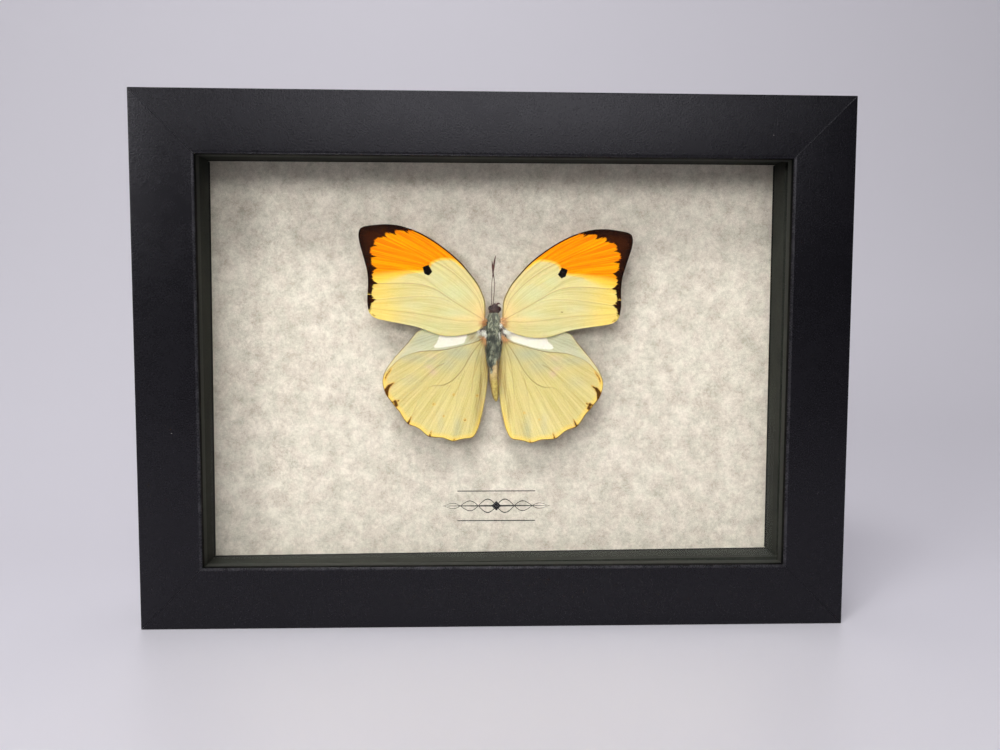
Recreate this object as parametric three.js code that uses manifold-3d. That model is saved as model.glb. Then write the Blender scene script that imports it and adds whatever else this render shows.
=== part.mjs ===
// A framed butterfly. A deep black box frame stands on its lower rail. Behind its glass four black spacer strips
// hold a mottled paper board clear of the pane, and one spread butterfly sits over the paper on a short steel pin.
// Millimetres. +X is to the viewer's right, +Z is up and the glass faces -Y. The origin is the middle of the base.
import * as THREE from "three";
import { mergeVertices } from "three/addons/utils/BufferGeometryUtils.js";
import Module from "manifold-3d";

const wasm = await Module();
wasm.setup();

// Frame, glass and backing
const frameWidth = 203;
const frameHeight = 152;
const frameDepth = 33;
const railFace = 17.75; // width of a rail seen from the front
const lipThickness = 5; // front lip that holds the glass in
const lipReach = 5.25; // how far the lip covers the glass
const innerRound = 0.9; // rounded front edge round the opening
const outerEase = 0.4;
const mitreGap = 0.1; // hairline left open at each glued corner
const rabbetWall = railFace - lipReach;
const rabbetWidth = frameWidth - 2 * rabbetWall;
const rabbetHeight = frameHeight - 2 * rabbetWall;
const sheetClearance = 0.3; // all round each sheet in the rabbet
const layerGap = 0.15; // between sheets that lean on each other
const glassThickness = 2;
const spacerDepth = 10.2;
const spacerThickness = 3.4;
const paperThickness = 0.4;
const foamThickness = 5;
const panelThickness = 3;
const pieceGap = 0.3; // round a piece that sits in a slot or a hole

// The spacer strips lean a little in the rabbet: inner corners, from the middle of the opening
const spacerCorner = {
  topLeft: [-84.4, 59.1],
  topRight: [83.8, 59.5],
  bottomRight: [84.0, -57.8],
  bottomLeft: [-85.0, -59.4],
};

// Depths, from the front of the frame to its back
const frontFace = -frameDepth / 2;
const glassFront = frontFace + lipThickness + layerGap;
const spacerFront = glassFront + glassThickness + layerGap;
const paperFront = spacerFront + spacerDepth + layerGap;
const foamFront = paperFront + paperThickness;
const panelFront = foamFront + foamThickness + layerGap;
const panelBack = panelFront + panelThickness;

// Steel tabs that keep the back in, and the hanger riveted to the back panel
const tabWidth = 8;
const tabThickness = 0.5;
const tabRoot = 5;
const tabReach = 9;
const tabDepth = panelBack + pieceGap + tabThickness / 2;
const hangerLength = 44;
const hangerHeight = 8;
const hangerThickness = 0.8;
const hangerStandoff = 1.6;
const hangerDrop = 24; // below the rabbet's upper wall
const hangerFoot = 7; // length of each end that stands on the panel
const rivetRadius = 2;
const rivetRise = 0.6;
const toothPitch = 3.2;
const toothDepth = 1.6;

// Butterfly: heights are from the middle of the opening, and x from the middle of the frame
const openingCentre = frameHeight / 2;
const bodyAxis = -0.6;
const wingPlane = paperFront - 5.15; // depth of the wing roots, over the paper
const bodyDepth = wingPlane + 0.8;
const wingThickness = 0.35;
const pinRadius = 0.25;
const pinHeight = 9; // where the pin goes through the thorax
const pinTop = wingPlane - 0.3;
const pinBite = 4; // how deep the pin is stuck into the foam
const pinFoot = foamFront + pinBite;

// Upper side of the right wings, from the root round the front edge: distance from the body axis, height
const forewingOutline = [
  [2.5, 12.6], [2.6, 16.0], [2.8, 18.0], [3.5, 20.0], [5.0, 22.9], [7.2, 25.7], [10.4, 29.2], [14.2, 32.3],
  [18.4, 35.1], [22.4, 37.2], [25.6, 38.4], [29.2, 39.25], [32.8, 39.45], [36.2, 39.1], [39.0, 38.6],
  [40.4, 38.0], [40.9, 37.2], [41.05, 35.8], [40.8, 34.2], [40.3, 32.4], [39.5, 30.0], [38.8, 27.8],
  [38.2, 25.8], [37.85, 23.8], [37.7, 21.8], [37.7, 19.6], [37.75, 16.4], [37.5, 14.8], [37.2, 13.5],
  [36.4, 12.4], [35.0, 11.6], [32.6, 11.1], [28.6, 10.5], [24.6, 9.9], [21.6, 9.2], [18.6, 8.2], [16.2, 7.5],
  [13.6, 7.3], [10.6, 7.5], [7.6, 8.1], [5.2, 9.0], [3.6, 9.9], [2.8, 10.9],
];
const hindwingOutline = [
  [2.9, 7.4], [5.0, 9.0], [9.0, 10.0], [14.0, 10.4], [19.0, 9.9], [22.8, 8.5], [24.6, 6.4], [26.2, 4.4],
  [27.8, 2.6], [29.3, 0.8], [30.6, -1.0], [31.8, -2.9], [32.5, -4.6], [32.8, -6.4], [32.6, -8.0], [32.1, -9.6],
  [31.4, -11.0], [30.2, -12.4], [28.8, -14.2], [27.5, -15.6], [26.5, -17.2], [25.5, -18.5], [24.6, -19.3],
  [22.6, -20.0], [21.2, -20.7], [19.8, -21.9], [18.6, -22.7], [16.6, -23.0], [14.2, -23.1], [12.6, -23.7],
  [11.0, -24.0], [9.2, -23.5], [7.6, -23.2], [6.2, -23.0], [5.2, -22.6], [4.4, -21.6], [3.6, -19.6],
  [3.0, -17.2], [2.5, -14.6], [2.15, -11.5], [1.95, -8.0], [1.9, -5.0], [2.1, -1.5], [2.5, 2.0], [2.7, 5.0],
];
const forewingCentre = [19.0, 20.0];
const hindwingCentre = [14.0, -5.0];
const forewingRoot = [2.5, 12.0];
const hindwingRoot = [2.7, 7.5];
// Each side was spread a little differently: turn about the root in degrees, and size
const wingSides = [
  { name: "left", mirror: -1, forewing: { turn: 2.5, size: 0.99 }, hindwing: { turn: 2.6, size: 0.985 } },
  { name: "right", mirror: 1, forewing: { turn: 0, size: 1 }, hindwing: { turn: 0, size: 1 } },
];
const outlineSteps = 64;
const wingRings = 6;

const black = new THREE.MeshStandardMaterial({ color: 0x1c1c20, roughness: 0.45, metalness: 0 });
const spacerBlack = new THREE.MeshStandardMaterial({ color: 0x1e1f1c, roughness: 0.6, metalness: 0 });
const clearGlass = new THREE.MeshStandardMaterial({
  color: 0xdfe8e4,
  roughness: 0.02,
  metalness: 0,
  transparent: true,
  opacity: 0.15,
});
const mottledPaper = new THREE.MeshStandardMaterial({ color: 0xcfc8b8, roughness: 0.9, metalness: 0 });
const whiteFoam = new THREE.MeshStandardMaterial({ color: 0xf2f2ee, roughness: 0.9, metalness: 0 });
const fibreboard = new THREE.MeshStandardMaterial({ color: 0x2b2623, roughness: 0.85, metalness: 0 });
const steel = new THREE.MeshStandardMaterial({ color: 0xb4b6b8, roughness: 0.35, metalness: 1 });
const wingYellow = new THREE.MeshStandardMaterial({ color: 0xf0e39c, roughness: 0.7, metalness: 0 });
const wingOrange = new THREE.MeshStandardMaterial({ color: 0xf7c95a, roughness: 0.7, metalness: 0 });
const bodyGrey = new THREE.MeshStandardMaterial({ color: 0x6f7260, roughness: 0.9, metalness: 0 });

const part = new THREE.Group();

// A closed geometry as a solid that can be joined and cut.
function solidOf(geometry) {
  const bare = geometry.index ? geometry.toNonIndexed() : geometry.clone();
  bare.deleteAttribute("normal");
  bare.deleteAttribute("uv");
  const merged = mergeVertices(bare, 1e-4);
  return new wasm.Manifold(
    new wasm.Mesh({
      numProp: 3,
      vertProperties: new Float32Array(merged.attributes.position.array),
      triVerts: new Uint32Array(merged.index.array),
    }),
  );
}

// A solid as a geometry again.
function geometryOf(solid) {
  const mesh = solid.getMesh();
  return new THREE.BufferGeometry()
    .setAttribute("position", new THREE.BufferAttribute(new Float32Array(mesh.vertProperties), 3))
    .setIndex(new THREE.BufferAttribute(new Uint32Array(mesh.triVerts), 1));
}

// A named piece of the frame or of one of its groups.
function piece(name, geometry, material, parent = part) {
  geometry.computeVertexNormals();
  const mesh = new THREE.Mesh(geometry, material);
  mesh.name = name;
  parent.add(mesh);
  return mesh;
}

// A box from its lowest and highest corners.
function block(low, high) {
  const size = high.map((value, i) => value - low[i]);
  const middle = high.map((value, i) => (value + low[i]) / 2);
  return new THREE.BoxGeometry(...size).translate(...middle);
}

// One moulding: its section runs along the length, and both ends are cut at 45 degrees.
// Its own frame has X along the rail, Y to the back and Z from the outer side towards the opening.
function mitredRail(length) {
  const section = new THREE.Shape();
  section.moveTo(0, outerEase);
  section.lineTo(outerEase, 0);
  section.lineTo(railFace - innerRound, 0);
  section.absarc(railFace - innerRound, innerRound, innerRound, -Math.PI / 2, 0, false);
  section.lineTo(railFace, lipThickness);
  section.lineTo(rabbetWall, lipThickness);
  section.lineTo(rabbetWall, frameDepth);
  section.lineTo(0, frameDepth);
  section.closePath();
  const rail = new THREE.ExtrudeGeometry(section, { depth: length, bevelEnabled: false, curveSegments: 4 });
  const position = rail.getAttribute("position");
  for (let i = 0; i < position.count; i++) {
    const setBack = position.getX(i) + mitreGap / 2;
    position.setZ(i, position.getZ(i) > length / 2 ? length - setBack : setBack);
  }
  const turned = new THREE.Matrix4().makeBasis(
    new THREE.Vector3(0, 0, 1),
    new THREE.Vector3(0, 1, 0),
    new THREE.Vector3(-1, 0, 0),
  );
  return rail.applyMatrix4(turned).translate(length / 2, frontFace, 0);
}

// A steel tab with a rounded free end, lying over the back panel. Z runs out of the rabbet wall.
function retainingTab(along) {
  const outline = new THREE.Shape();
  const half = tabWidth / 2;
  outline.moveTo(-half, -tabRoot);
  outline.lineTo(half, -tabRoot);
  outline.lineTo(half, tabReach - half);
  outline.absarc(0, tabReach - half, half, 0, Math.PI, false);
  outline.closePath();
  const tab = new THREE.ExtrudeGeometry(outline, { depth: tabThickness, bevelEnabled: false, curveSegments: 5 });
  return tab
    .rotateX(Math.PI / 2)
    .translate(along, tabDepth + tabThickness / 2, rabbetWall);
}

// A rail with its tabs, turned round the middle of the frame to its side.
function addRail(side, length, reach, angle, tabPlaces) {
  const group = new THREE.Group();
  let rail = solidOf(mitredRail(length));
  const slotHalf = tabWidth / 2 + pieceGap;
  const slotDepth = tabThickness / 2 + pieceGap;
  const slotMouth = rabbetWall + 1;
  tabPlaces.forEach((along, i) => {
    const slot = block(
      [along - slotHalf, tabDepth - slotDepth, rabbetWall - tabRoot - pieceGap],
      [along + slotHalf, tabDepth + slotDepth, slotMouth],
    );
    rail = rail.subtract(solidOf(slot));
    piece(`retaining_tab_${side}_${i + 1}`, retainingTab(along), steel, group);
  });
  piece(`frame_rail_${side}`, geometryOf(rail), black, group);
  group.rotation.y = angle;
  group.position.set(-Math.sin(angle) * reach, 0, openingCentre - Math.cos(angle) * reach);
  part.add(group);
}

// A spacer strip behind the glass, its inner face from one corner to the next, clockwise from the front.
function addSpacer(side, from, to, endGap) {
  const start = new THREE.Vector2(...from);
  const end = new THREE.Vector2(...to);
  const along = end.clone().sub(start).normalize();
  const outward = new THREE.Vector2(-along.y, along.x);
  const first = start.clone().addScaledVector(along, endGap);
  const last = end.clone().addScaledVector(along, -endGap);
  const corners = [
    first,
    last,
    last.clone().addScaledVector(outward, spacerThickness),
    first.clone().addScaledVector(outward, spacerThickness),
  ];
  const strip = new THREE.ExtrudeGeometry(new THREE.Shape(corners), { depth: spacerDepth, bevelEnabled: false });
  strip.rotateX(Math.PI / 2).translate(0, spacerFront + spacerDepth, openingCentre);
  piece(`spacer_${side}`, strip, spacerBlack);
}

// A sheet that fills the rabbet, between two depths.
function sheet(front, back) {
  const halfWidth = rabbetWidth / 2 - sheetClearance;
  const halfHeight = rabbetHeight / 2 - sheetClearance;
  return block(
    [-halfWidth, front, openingCentre - halfHeight],
    [halfWidth, back, openingCentre + halfHeight],
  );
}

// A round bar along Y, standing where the pin stands.
function barAtPin(radius, front, back, sides = 12) {
  return new THREE.CylinderGeometry(radius, radius, back - front, sides).translate(
    bodyAxis,
    (front + back) / 2,
    openingCentre + pinHeight,
  );
}

// The sawtooth hanger: a strip raised off the panel on two feet, with rivet heads through them.
function sawtoothHanger() {
  const top = openingCentre + rabbetHeight / 2 - hangerDrop;
  const half = hangerLength / 2;
  const outline = new THREE.Shape();
  outline.moveTo(-half, top);
  outline.lineTo(-half, top - hangerHeight);
  outline.lineTo(-half + hangerFoot, top - hangerHeight);
  const teeth = Math.floor((hangerLength - 2 * hangerFoot) / toothPitch);
  const firstTooth = (-teeth * toothPitch) / 2;
  for (let i = 0; i < teeth; i++) {
    outline.lineTo(firstTooth + i * toothPitch, top - hangerHeight);
    outline.lineTo(firstTooth + (i + 0.5) * toothPitch, top - hangerHeight + toothDepth);
  }
  outline.lineTo(half - hangerFoot, top - hangerHeight);
  outline.lineTo(half, top - hangerHeight);
  outline.lineTo(half, top);
  outline.closePath();
  const strip = new THREE.ExtrudeGeometry(outline, { depth: hangerThickness, bevelEnabled: false });
  const stripFront = panelBack + hangerStandoff;
  strip.rotateX(Math.PI / 2).translate(0, stripFront + hangerThickness, 0);
  let hanger = solidOf(strip);
  for (const side of [-1, 1]) {
    const inner = side * (half - hangerFoot);
    const foot = block(
      [Math.min(inner, side * half), panelBack, top - hangerHeight],
      [Math.max(inner, side * half), stripFront + hangerThickness / 2, top],
    );
    const rivet = new THREE.CylinderGeometry(rivetRadius * 0.8, rivetRadius, 2 * rivetRise, 16).translate(
      side * (half - hangerFoot / 2),
      stripFront + hangerThickness,
      top - hangerHeight / 2,
    );
    hanger = hanger.add(solidOf(foot)).add(solidOf(rivet));
  }
  return geometryOf(hanger);
}

// A closed skin through rings of points, with a pole at each end. Seen from its high pole, the rings turn
// anticlockwise.
function skinOfRings(rings, lowPole, highPole) {
  const points = [lowPole, ...rings.flat(), highPole];
  const sides = rings[0].length;
  const at = (ring, i) => 1 + ring * sides + (i % sides);
  const faces = [];
  for (let i = 0; i < sides; i++) {
    faces.push(0, at(0, i + 1), at(0, i));
    faces.push(points.length - 1, at(rings.length - 1, i), at(rings.length - 1, i + 1));
    for (let ring = 0; ring + 1 < rings.length; ring++) {
      faces.push(at(ring, i), at(ring, i + 1), at(ring + 1, i + 1));
      faces.push(at(ring, i), at(ring + 1, i + 1), at(ring + 1, i));
    }
  }
  const geometry = new THREE.BufferGeometry();
  geometry.setAttribute("position", new THREE.Float32BufferAttribute(points.flat(), 3));
  geometry.setIndex(faces);
  return geometry;
}

// Stations up the body: height, centre x, centre behind the body's depth, half width, half thickness.
const bodyStations = [
  [-11.4, 0.15, 0.1, 0.45, 0.45],
  [-10.4, 0.05, 0.1, 0.85, 0.8],
  [-8.0, -0.2, 0.1, 1.15, 1.15],
  [-5.0, -0.45, 0.05, 1.35, 1.4],
  [-2.0, -0.6, 0.0, 1.45, 1.5],
  [1.0, -0.7, 0.0, 1.5, 1.55],
  [3.2, -0.7, 0.0, 1.55, 1.6],
  [5.0, -0.7, -0.1, 1.85, 2.0],
  [7.5, -0.7, -0.2, 2.05, 2.35],
  [10.0, -0.7, -0.2, 2.1, 2.45],
  [12.5, -0.7, -0.1, 2.0, 2.2],
  [14.2, -0.6, 0.0, 1.6, 1.6],
  [14.9, -0.5, 0.0, 1.2, 1.2],
  [15.6, -0.4, -0.1, 1.45, 1.3],
  [16.4, -0.35, -0.1, 1.45, 1.25],
  [17.1, -0.3, -0.1, 0.95, 0.85],
];

// A round tube along a smooth path, closed at both ends, with its own radius at each point.
function taperedTube(points, radii, steps, sides = 6) {
  const path = new THREE.CatmullRomCurve3(points.map((p) => new THREE.Vector3(...p)));
  const frames = path.computeFrenetFrames(steps, false);
  const rings = [];
  for (let i = 0; i <= steps; i++) {
    const share = (i / steps) * (radii.length - 1);
    const low = Math.min(Math.floor(share), radii.length - 2);
    const radius = THREE.MathUtils.lerp(radii[low], radii[low + 1], share - low);
    const middle = path.getPointAt(i / steps);
    const ring = [];
    for (let k = 0; k < sides; k++) {
      const angle = (2 * Math.PI * k) / sides;
      const point = middle
        .clone()
        .addScaledVector(frames.normals[i], Math.cos(angle) * radius)
        .addScaledVector(frames.binormals[i], Math.sin(angle) * radius);
      ring.push(point.toArray());
    }
    rings.push(ring);
  }
  const low = path.getPointAt(0).addScaledVector(frames.tangents[0], -radii[0] / 2).toArray();
  const high = path.getPointAt(1).addScaledVector(frames.tangents[steps], radii[radii.length - 1] / 2).toArray();
  return solidOf(skinOfRings(rings, low, high));
}

// A point of the butterfly: x from the middle of the frame, depth behind the body's depth, height.
function onBody(x, back, height) {
  return [x, bodyDepth + back, openingCentre + height];
}

// The rest of the body, as x, distance behind the body's depth, and height
const bodyTip = [0.25, 0.1, -11.9];
const headTop = [-0.3, -0.1, 17.35];
const eyeRadius = 0.85;
const eyes = [[-1.45, -0.15, 16.1], [0.85, -0.15, 15.8]];
const palpRoot = [0.35, 0.1, 16.6];
const palpEnd = [0.65, -0.1, 17.6];
const palpRadii = [0.35, 0.2];
const legHips = [12.0, 9.6, 7.2]; // heights of the three pairs, folded under the thorax
const legRadii = [0.26, 0.22, 0.18, 0.14];
const antennaRadii = [0.14, 0.14, 0.14, 0.15, 0.22, 0.26, 0.16];
// The antennae cross over the head, one in front of the other
const antennae = [
  [
    [-1.0, -0.4, 16.2], [-1.3, -0.9, 17.9], [-1.28, -1.5, 21.0], [-1.15, -1.9, 24.2],
    [-0.75, -2.1, 27.2], [-0.5, -2.2, 29.6], [0.0, -2.2, 31.6],
  ],
  [
    [-0.5, -0.5, 16.4], [-0.72, -0.8, 17.9], [-0.42, -1.0, 21.4], [-0.45, -1.1, 24.0],
    [-0.85, -1.2, 26.6], [-1.0, -1.2, 28.4], [-1.15, -1.2, 30.0],
  ],
];

// One leg of a pair: out beside the thorax, then back along under it.
function legPath(hip, row, side) {
  const knee = 1.9 + 0.25 * row;
  return [
    [bodyAxis + side * 0.7, 1.5, hip],
    [bodyAxis + side * knee, 2.75, hip - 1.2],
    [bodyAxis + side * (knee - 0.7), 3.1, hip - 3.4],
    [bodyAxis + side * 0.75, 3.2, hip - 5.8],
  ];
}

function butterflyBody() {
  const sides = 20;
  const rings = bodyStations.map(([height, x, back, halfWidth, halfDepth]) => {
    const ring = [];
    for (let k = 0; k < sides; k++) {
      const angle = (2 * Math.PI * k) / sides;
      ring.push(onBody(x + halfWidth * Math.cos(angle), back + halfDepth * Math.sin(angle), height));
    }
    return ring;
  });
  let body = solidOf(skinOfRings(rings, onBody(...bodyTip), onBody(...headTop)));
  for (const eye of eyes) {
    const ball = new THREE.SphereGeometry(eyeRadius, 12, 8).translate(...onBody(...eye));
    body = body.add(solidOf(ball));
  }
  const addTube = (points, radii, steps) => {
    body = body.add(taperedTube(points.map((point) => onBody(...point)), radii, steps));
  };
  for (const side of [-1, 1]) {
    const palp = [palpRoot, palpEnd].map(([out, back, height]) => [headTop[0] + side * out, back, height]);
    addTube(palp, palpRadii, 2);
    legHips.forEach((hip, row) => addTube(legPath(hip, row, side), legRadii, 8));
  }
  for (const antenna of antennae) addTube(antenna, antennaRadii, 14);
  const socket = barAtPin(pinRadius + pieceGap, pinTop - pieceGap, paperFront);
  return geometryOf(body.subtract(solidOf(socket)));
}

// How far the right forewing stands towards the viewer from the wing plane.
function forewingLift(out, height) {
  return 0.03 * out - 0.0016 * (height - 22) ** 2;
}

// The hindwing lies under the forewing, and its inner margin folds down along the abdomen.
function hindwingLift(out, height) {
  const fold = THREE.MathUtils.smoothstep(6 - out, 0, 4.5) * THREE.MathUtils.smoothstep(6 - height, 0, 8);
  return -0.75 + 0.012 * out - 0.001 * (height + 6) ** 2 - 1.9 * fold;
}

// One wing as a thin closed solid: rings from a middle point out to the outline, on both faces.
function wing(outline, middle, root, lift, side, spread) {
  const curve = new THREE.CatmullRomCurve3(outline.map(([x, z]) => new THREE.Vector3(x, 0, z)), true, "centripetal");
  const rim = curve.getSpacedPoints(outlineSteps).slice(0, outlineSteps);
  // The outline runs clockwise seen from the front on the right side, and the other way on the left.
  if (side.mirror > 0) rim.reverse();
  const turn = THREE.MathUtils.degToRad(spread.turn);
  const place = (out, height, face) => {
    const dx = (out - root[0]) * spread.size;
    const dz = (height - root[1]) * spread.size;
    return [
      bodyAxis + side.mirror * (root[0] + dx * Math.cos(turn) - dz * Math.sin(turn)),
      wingPlane - lift(out, height) + (face * wingThickness) / 2,
      openingCentre + root[1] + dx * Math.sin(turn) + dz * Math.cos(turn),
    ];
  };
  const ringsOn = (face) =>
    Array.from({ length: wingRings }, (_, k) => {
      const share = (k + 1) / wingRings;
      return rim.map((p) =>
        place(middle[0] + (p.x - middle[0]) * share, middle[1] + (p.z - middle[1]) * share, face),
      );
    });
  const back = ringsOn(1);
  const front = ringsOn(-1).reverse();
  return skinOfRings([...back, ...front], place(...middle, 1), place(...middle, -1));
}

addRail("bottom", frameWidth, frameHeight / 2, 0, [-frameWidth / 4, frameWidth / 4]);
addRail("top", frameWidth, frameHeight / 2, Math.PI, [-frameWidth / 4, frameWidth / 4]);
addRail("left", frameHeight, frameWidth / 2, Math.PI / 2, [0]);
addRail("right", frameHeight, frameWidth / 2, -Math.PI / 2, [0]);

piece("glass_pane", sheet(glassFront, glassFront + glassThickness), clearGlass);

// The top and bottom strips run past the corners, and the side strips stand between them
const { topLeft, topRight, bottomRight, bottomLeft } = spacerCorner;
const pastCorner = ([x, z]) => [x + Math.sign(x) * spacerThickness, z];
addSpacer("top", pastCorner(topLeft), pastCorner(topRight), 0);
addSpacer("bottom", pastCorner(bottomRight), pastCorner(bottomLeft), 0);
addSpacer("right", topRight, bottomRight, pieceGap);
addSpacer("left", bottomLeft, topLeft, pieceGap);

const pinHole = pinRadius + pieceGap;
const paperHole = barAtPin(pinHole, paperFront - 1, foamFront + 1);
const foamHole = barAtPin(pinHole, foamFront - 1, pinFoot + pieceGap);
const paper = solidOf(sheet(paperFront, foamFront)).subtract(solidOf(paperHole));
const foam = solidOf(sheet(foamFront, foamFront + foamThickness)).subtract(solidOf(foamHole));
piece("backing_paper", geometryOf(paper), mottledPaper);
piece("foam_board", geometryOf(foam), whiteFoam);
piece("back_panel", sheet(panelFront, panelBack), fibreboard);
piece("sawtooth_hanger", sawtoothHanger(), steel);
piece("mounting_pin", barAtPin(pinRadius, pinTop, pinFoot, 10), steel);

piece("butterfly_body", butterflyBody(), bodyGrey);
for (const side of wingSides) {
  const forewing = wing(forewingOutline, forewingCentre, forewingRoot, forewingLift, side, side.forewing);
  const hindwing = wing(hindwingOutline, hindwingCentre, hindwingRoot, hindwingLift, side, side.hindwing);
  piece(`forewing_${side.name}`, forewing, wingOrange);
  piece(`hindwing_${side.name}`, hindwing, wingYellow);
}

export default part;
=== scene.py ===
# %% [markdown]
# # A butterfly in a box frame
# A dried butterfly is spread over a sheet of mottled paper, behind glass, in a deep black frame. The packed
# model holds every piece at its real size. This lesson gives the pieces their finish, and makes new surfaces
# for what a faceted solid can't show: the mouldings, the wings with their veins, and the hairy body.

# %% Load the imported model
import math
import bmesh
import bpy
import numpy as np
from mathutils import Matrix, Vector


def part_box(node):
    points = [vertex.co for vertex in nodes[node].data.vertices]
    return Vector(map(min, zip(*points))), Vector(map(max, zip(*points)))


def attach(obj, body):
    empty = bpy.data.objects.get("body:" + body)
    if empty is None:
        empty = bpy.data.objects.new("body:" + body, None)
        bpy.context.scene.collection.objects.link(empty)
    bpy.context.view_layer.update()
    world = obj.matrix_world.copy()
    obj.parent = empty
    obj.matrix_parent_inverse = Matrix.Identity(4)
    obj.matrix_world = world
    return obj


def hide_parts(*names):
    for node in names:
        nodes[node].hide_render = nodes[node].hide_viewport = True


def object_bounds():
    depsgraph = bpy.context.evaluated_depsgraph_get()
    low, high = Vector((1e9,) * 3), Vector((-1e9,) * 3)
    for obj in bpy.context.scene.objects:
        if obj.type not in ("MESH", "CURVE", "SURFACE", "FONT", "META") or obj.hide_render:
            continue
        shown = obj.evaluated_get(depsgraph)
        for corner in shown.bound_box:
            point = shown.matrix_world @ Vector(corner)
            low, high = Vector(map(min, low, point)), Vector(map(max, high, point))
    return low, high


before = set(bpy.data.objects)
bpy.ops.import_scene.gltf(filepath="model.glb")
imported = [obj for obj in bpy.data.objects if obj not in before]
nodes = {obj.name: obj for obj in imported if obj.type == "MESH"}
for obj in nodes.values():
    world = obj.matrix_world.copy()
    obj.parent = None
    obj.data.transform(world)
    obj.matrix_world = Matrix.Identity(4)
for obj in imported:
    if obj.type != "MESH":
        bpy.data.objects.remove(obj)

cad_box = [list(map(float, corner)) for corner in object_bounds()]
print("nodes:", len(nodes), "box:", cad_box)

# %% [markdown]
# ## Units and the camera
# Everything below is thought out in millimetres and turned into metres once, when a mesh is made. Sizes come
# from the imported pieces, so the scene follows the frame if the frame changes. The photograph was taken from a
# hand's breadth in front of the glass, a little to the left and above the middle, with a wide lens.

# %% Millimetres, and the frame's own sizes
MM = 0.001
WIDTH, DEPTH, HEIGHT = (np.array(cad_box[1]) - np.array(cad_box[0])) / MM
FRONT = cad_box[0][1] / MM
MIDDLE = HEIGHT / 2
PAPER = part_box("backing_paper")[0][1] / MM
SIDES = ("bottom", "right", "top", "left")
print("paper lies", round(PAPER - FRONT, 2), "mm behind the front")

# %% The camera of the photograph
EYE = np.array([-7.41, FRONT - 241.75, MIDDLE + 14.1])
TURN, NOD, LEAN = np.radians([-1.97, -4.02, -0.19])
PICTURE_WIDTH = 1000
FOCAL_PIXELS = 854.7


def turned(radians, axis):
    return Matrix.Rotation(radians, 4, axis)


camera_data = bpy.data.cameras.new("camera")
camera_data.sensor_width = 36
camera_data.lens = FOCAL_PIXELS / PICTURE_WIDTH * camera_data.sensor_width
camera_data.clip_start = 0.01
camera = bpy.data.objects.new("camera", camera_data)
look = turned(TURN, "Z") @ turned(NOD, "X") @ turned(LEAN, "Y")
camera.matrix_world = Matrix.Translation(EYE * MM) @ look @ turned(math.pi / 2, "X")
bpy.context.collection.objects.link(camera)
bpy.context.scene.camera = camera

# %% [markdown]
# ## Surfaces from arrays
# Each new piece is a grid of points worked out by numpy in one go. The faces of a grid are the same for every
# piece, so one helper numbers them, and one helper turns points and faces into a Blender mesh. Values that a
# material needs, such as the distance to a vein, ride along as attributes of the points.


# %% Grid faces and meshes
def grid_faces(rows, columns, round_columns=False):
    """Four-cornered faces of a grid of points numbered row by row. A round grid joins its last column to its
    first."""
    column = np.arange(columns if round_columns else columns - 1)
    row = np.arange(rows - 1)[:, None] * columns
    after = (column + 1) % columns
    faces = [row + column, row + after, row + after + columns, row + column + columns]
    return np.stack(faces, -1).reshape(-1, 4)


def closed_faces(rows, columns, ends_face_in=False):
    """Faces of a round grid, with one more face over each end. Ends that face in keep the thin seam between two
    mitred pieces dark."""
    ends = [range(columns)[::-1], range((rows - 1) * columns, rows * columns)]
    if ends_face_in:
        ends = [end[::-1] for end in ends]
    return [*grid_faces(rows, columns, round_columns=True).tolist(), *map(list, ends)]


def make_piece(name, points, faces, fields=None, uv=None, smooth=True):
    """One object from points in millimetres and faces; fields hold one number for each point. A closed
    surface whose faces enclose a volume below zero is inside out, so it is flipped."""
    mesh = bpy.data.meshes.new(name)
    mesh.from_pydata((np.asarray(points) * MM).tolist(), [], [list(face) for face in faces])
    shell = bmesh.new()
    shell.from_mesh(mesh)
    if shell.calc_volume(signed=True) < 0:
        mesh.flip_normals()
    shell.free()
    for field, values in (fields or {}).items():
        layer = mesh.attributes.new(field, "FLOAT", "POINT")
        layer.data.foreach_set("value", np.asarray(values, np.float32))
    if uv is not None:
        corner_points = np.empty(len(mesh.loops), np.int32)
        mesh.loops.foreach_get("vertex_index", corner_points)
        mesh.uv_layers.new(name="UVMap").data.foreach_set("uv", uv[corner_points].astype(np.float32).ravel())
    mesh.polygons.foreach_set("use_smooth", [smooth] * len(mesh.polygons))
    mesh.update()
    piece = bpy.data.objects.new(name, mesh)
    bpy.context.collection.objects.link(piece)
    return piece


def smoothstep(value, low, high):
    """0 below low, 1 above high, and an S-shaped rise between them."""
    share = np.clip((value - low) / (high - low), 0, 1)
    return share * share * (3 - 2 * share)


def smooth_line(points, samples):
    """A curve through the points, on which each stretch is a cubic that leaves along its neighbours' chord,
    walked at equal steps."""
    p = np.asarray(points, float)
    padded = np.vstack([2 * p[0] - p[1], p, 2 * p[-1] - p[-2]])
    t = np.linspace(0, 1, 24, endpoint=False)[:, None]
    stretches = [
        (2 * b + (c - a) * t + (2 * a - 5 * b + 4 * c - d) * t**2 + (3 * b - a - 3 * c + d) * t**3) / 2
        for a, b, c, d in zip(padded[:-3], padded[1:-2], padded[2:-1], padded[3:])
    ]
    dense = np.vstack([*stretches, p[-1:]])
    walked = np.r_[0, np.cumsum(np.linalg.norm(np.diff(dense, axis=0), axis=1))]
    steps = np.linspace(0, walked[-1], samples)
    return np.column_stack([np.interp(steps, walked, axis) for axis in dense.T])


# %% [markdown]
# ## Building materials in code
# A material is a small graph of nodes. A Value is a number or a colour on its way through the graph, and a
# sum that is written on it, such as coarse * 0.3 + fine, adds the nodes that work the sum out. A Finish is a
# material with its shader. Effects that several finishes share are node groups with named inputs and outputs.


# %% Values and nodes
def maths(operation):
    """A sum on a Value and, for most sums, one other Value or number."""

    def add_sum(first, *second):
        inputs = dict(enumerate((first, *second)))
        return add_node(first.tree, "ShaderNodeMath", inputs, operation=operation)["Value"]

    return add_sum


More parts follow.
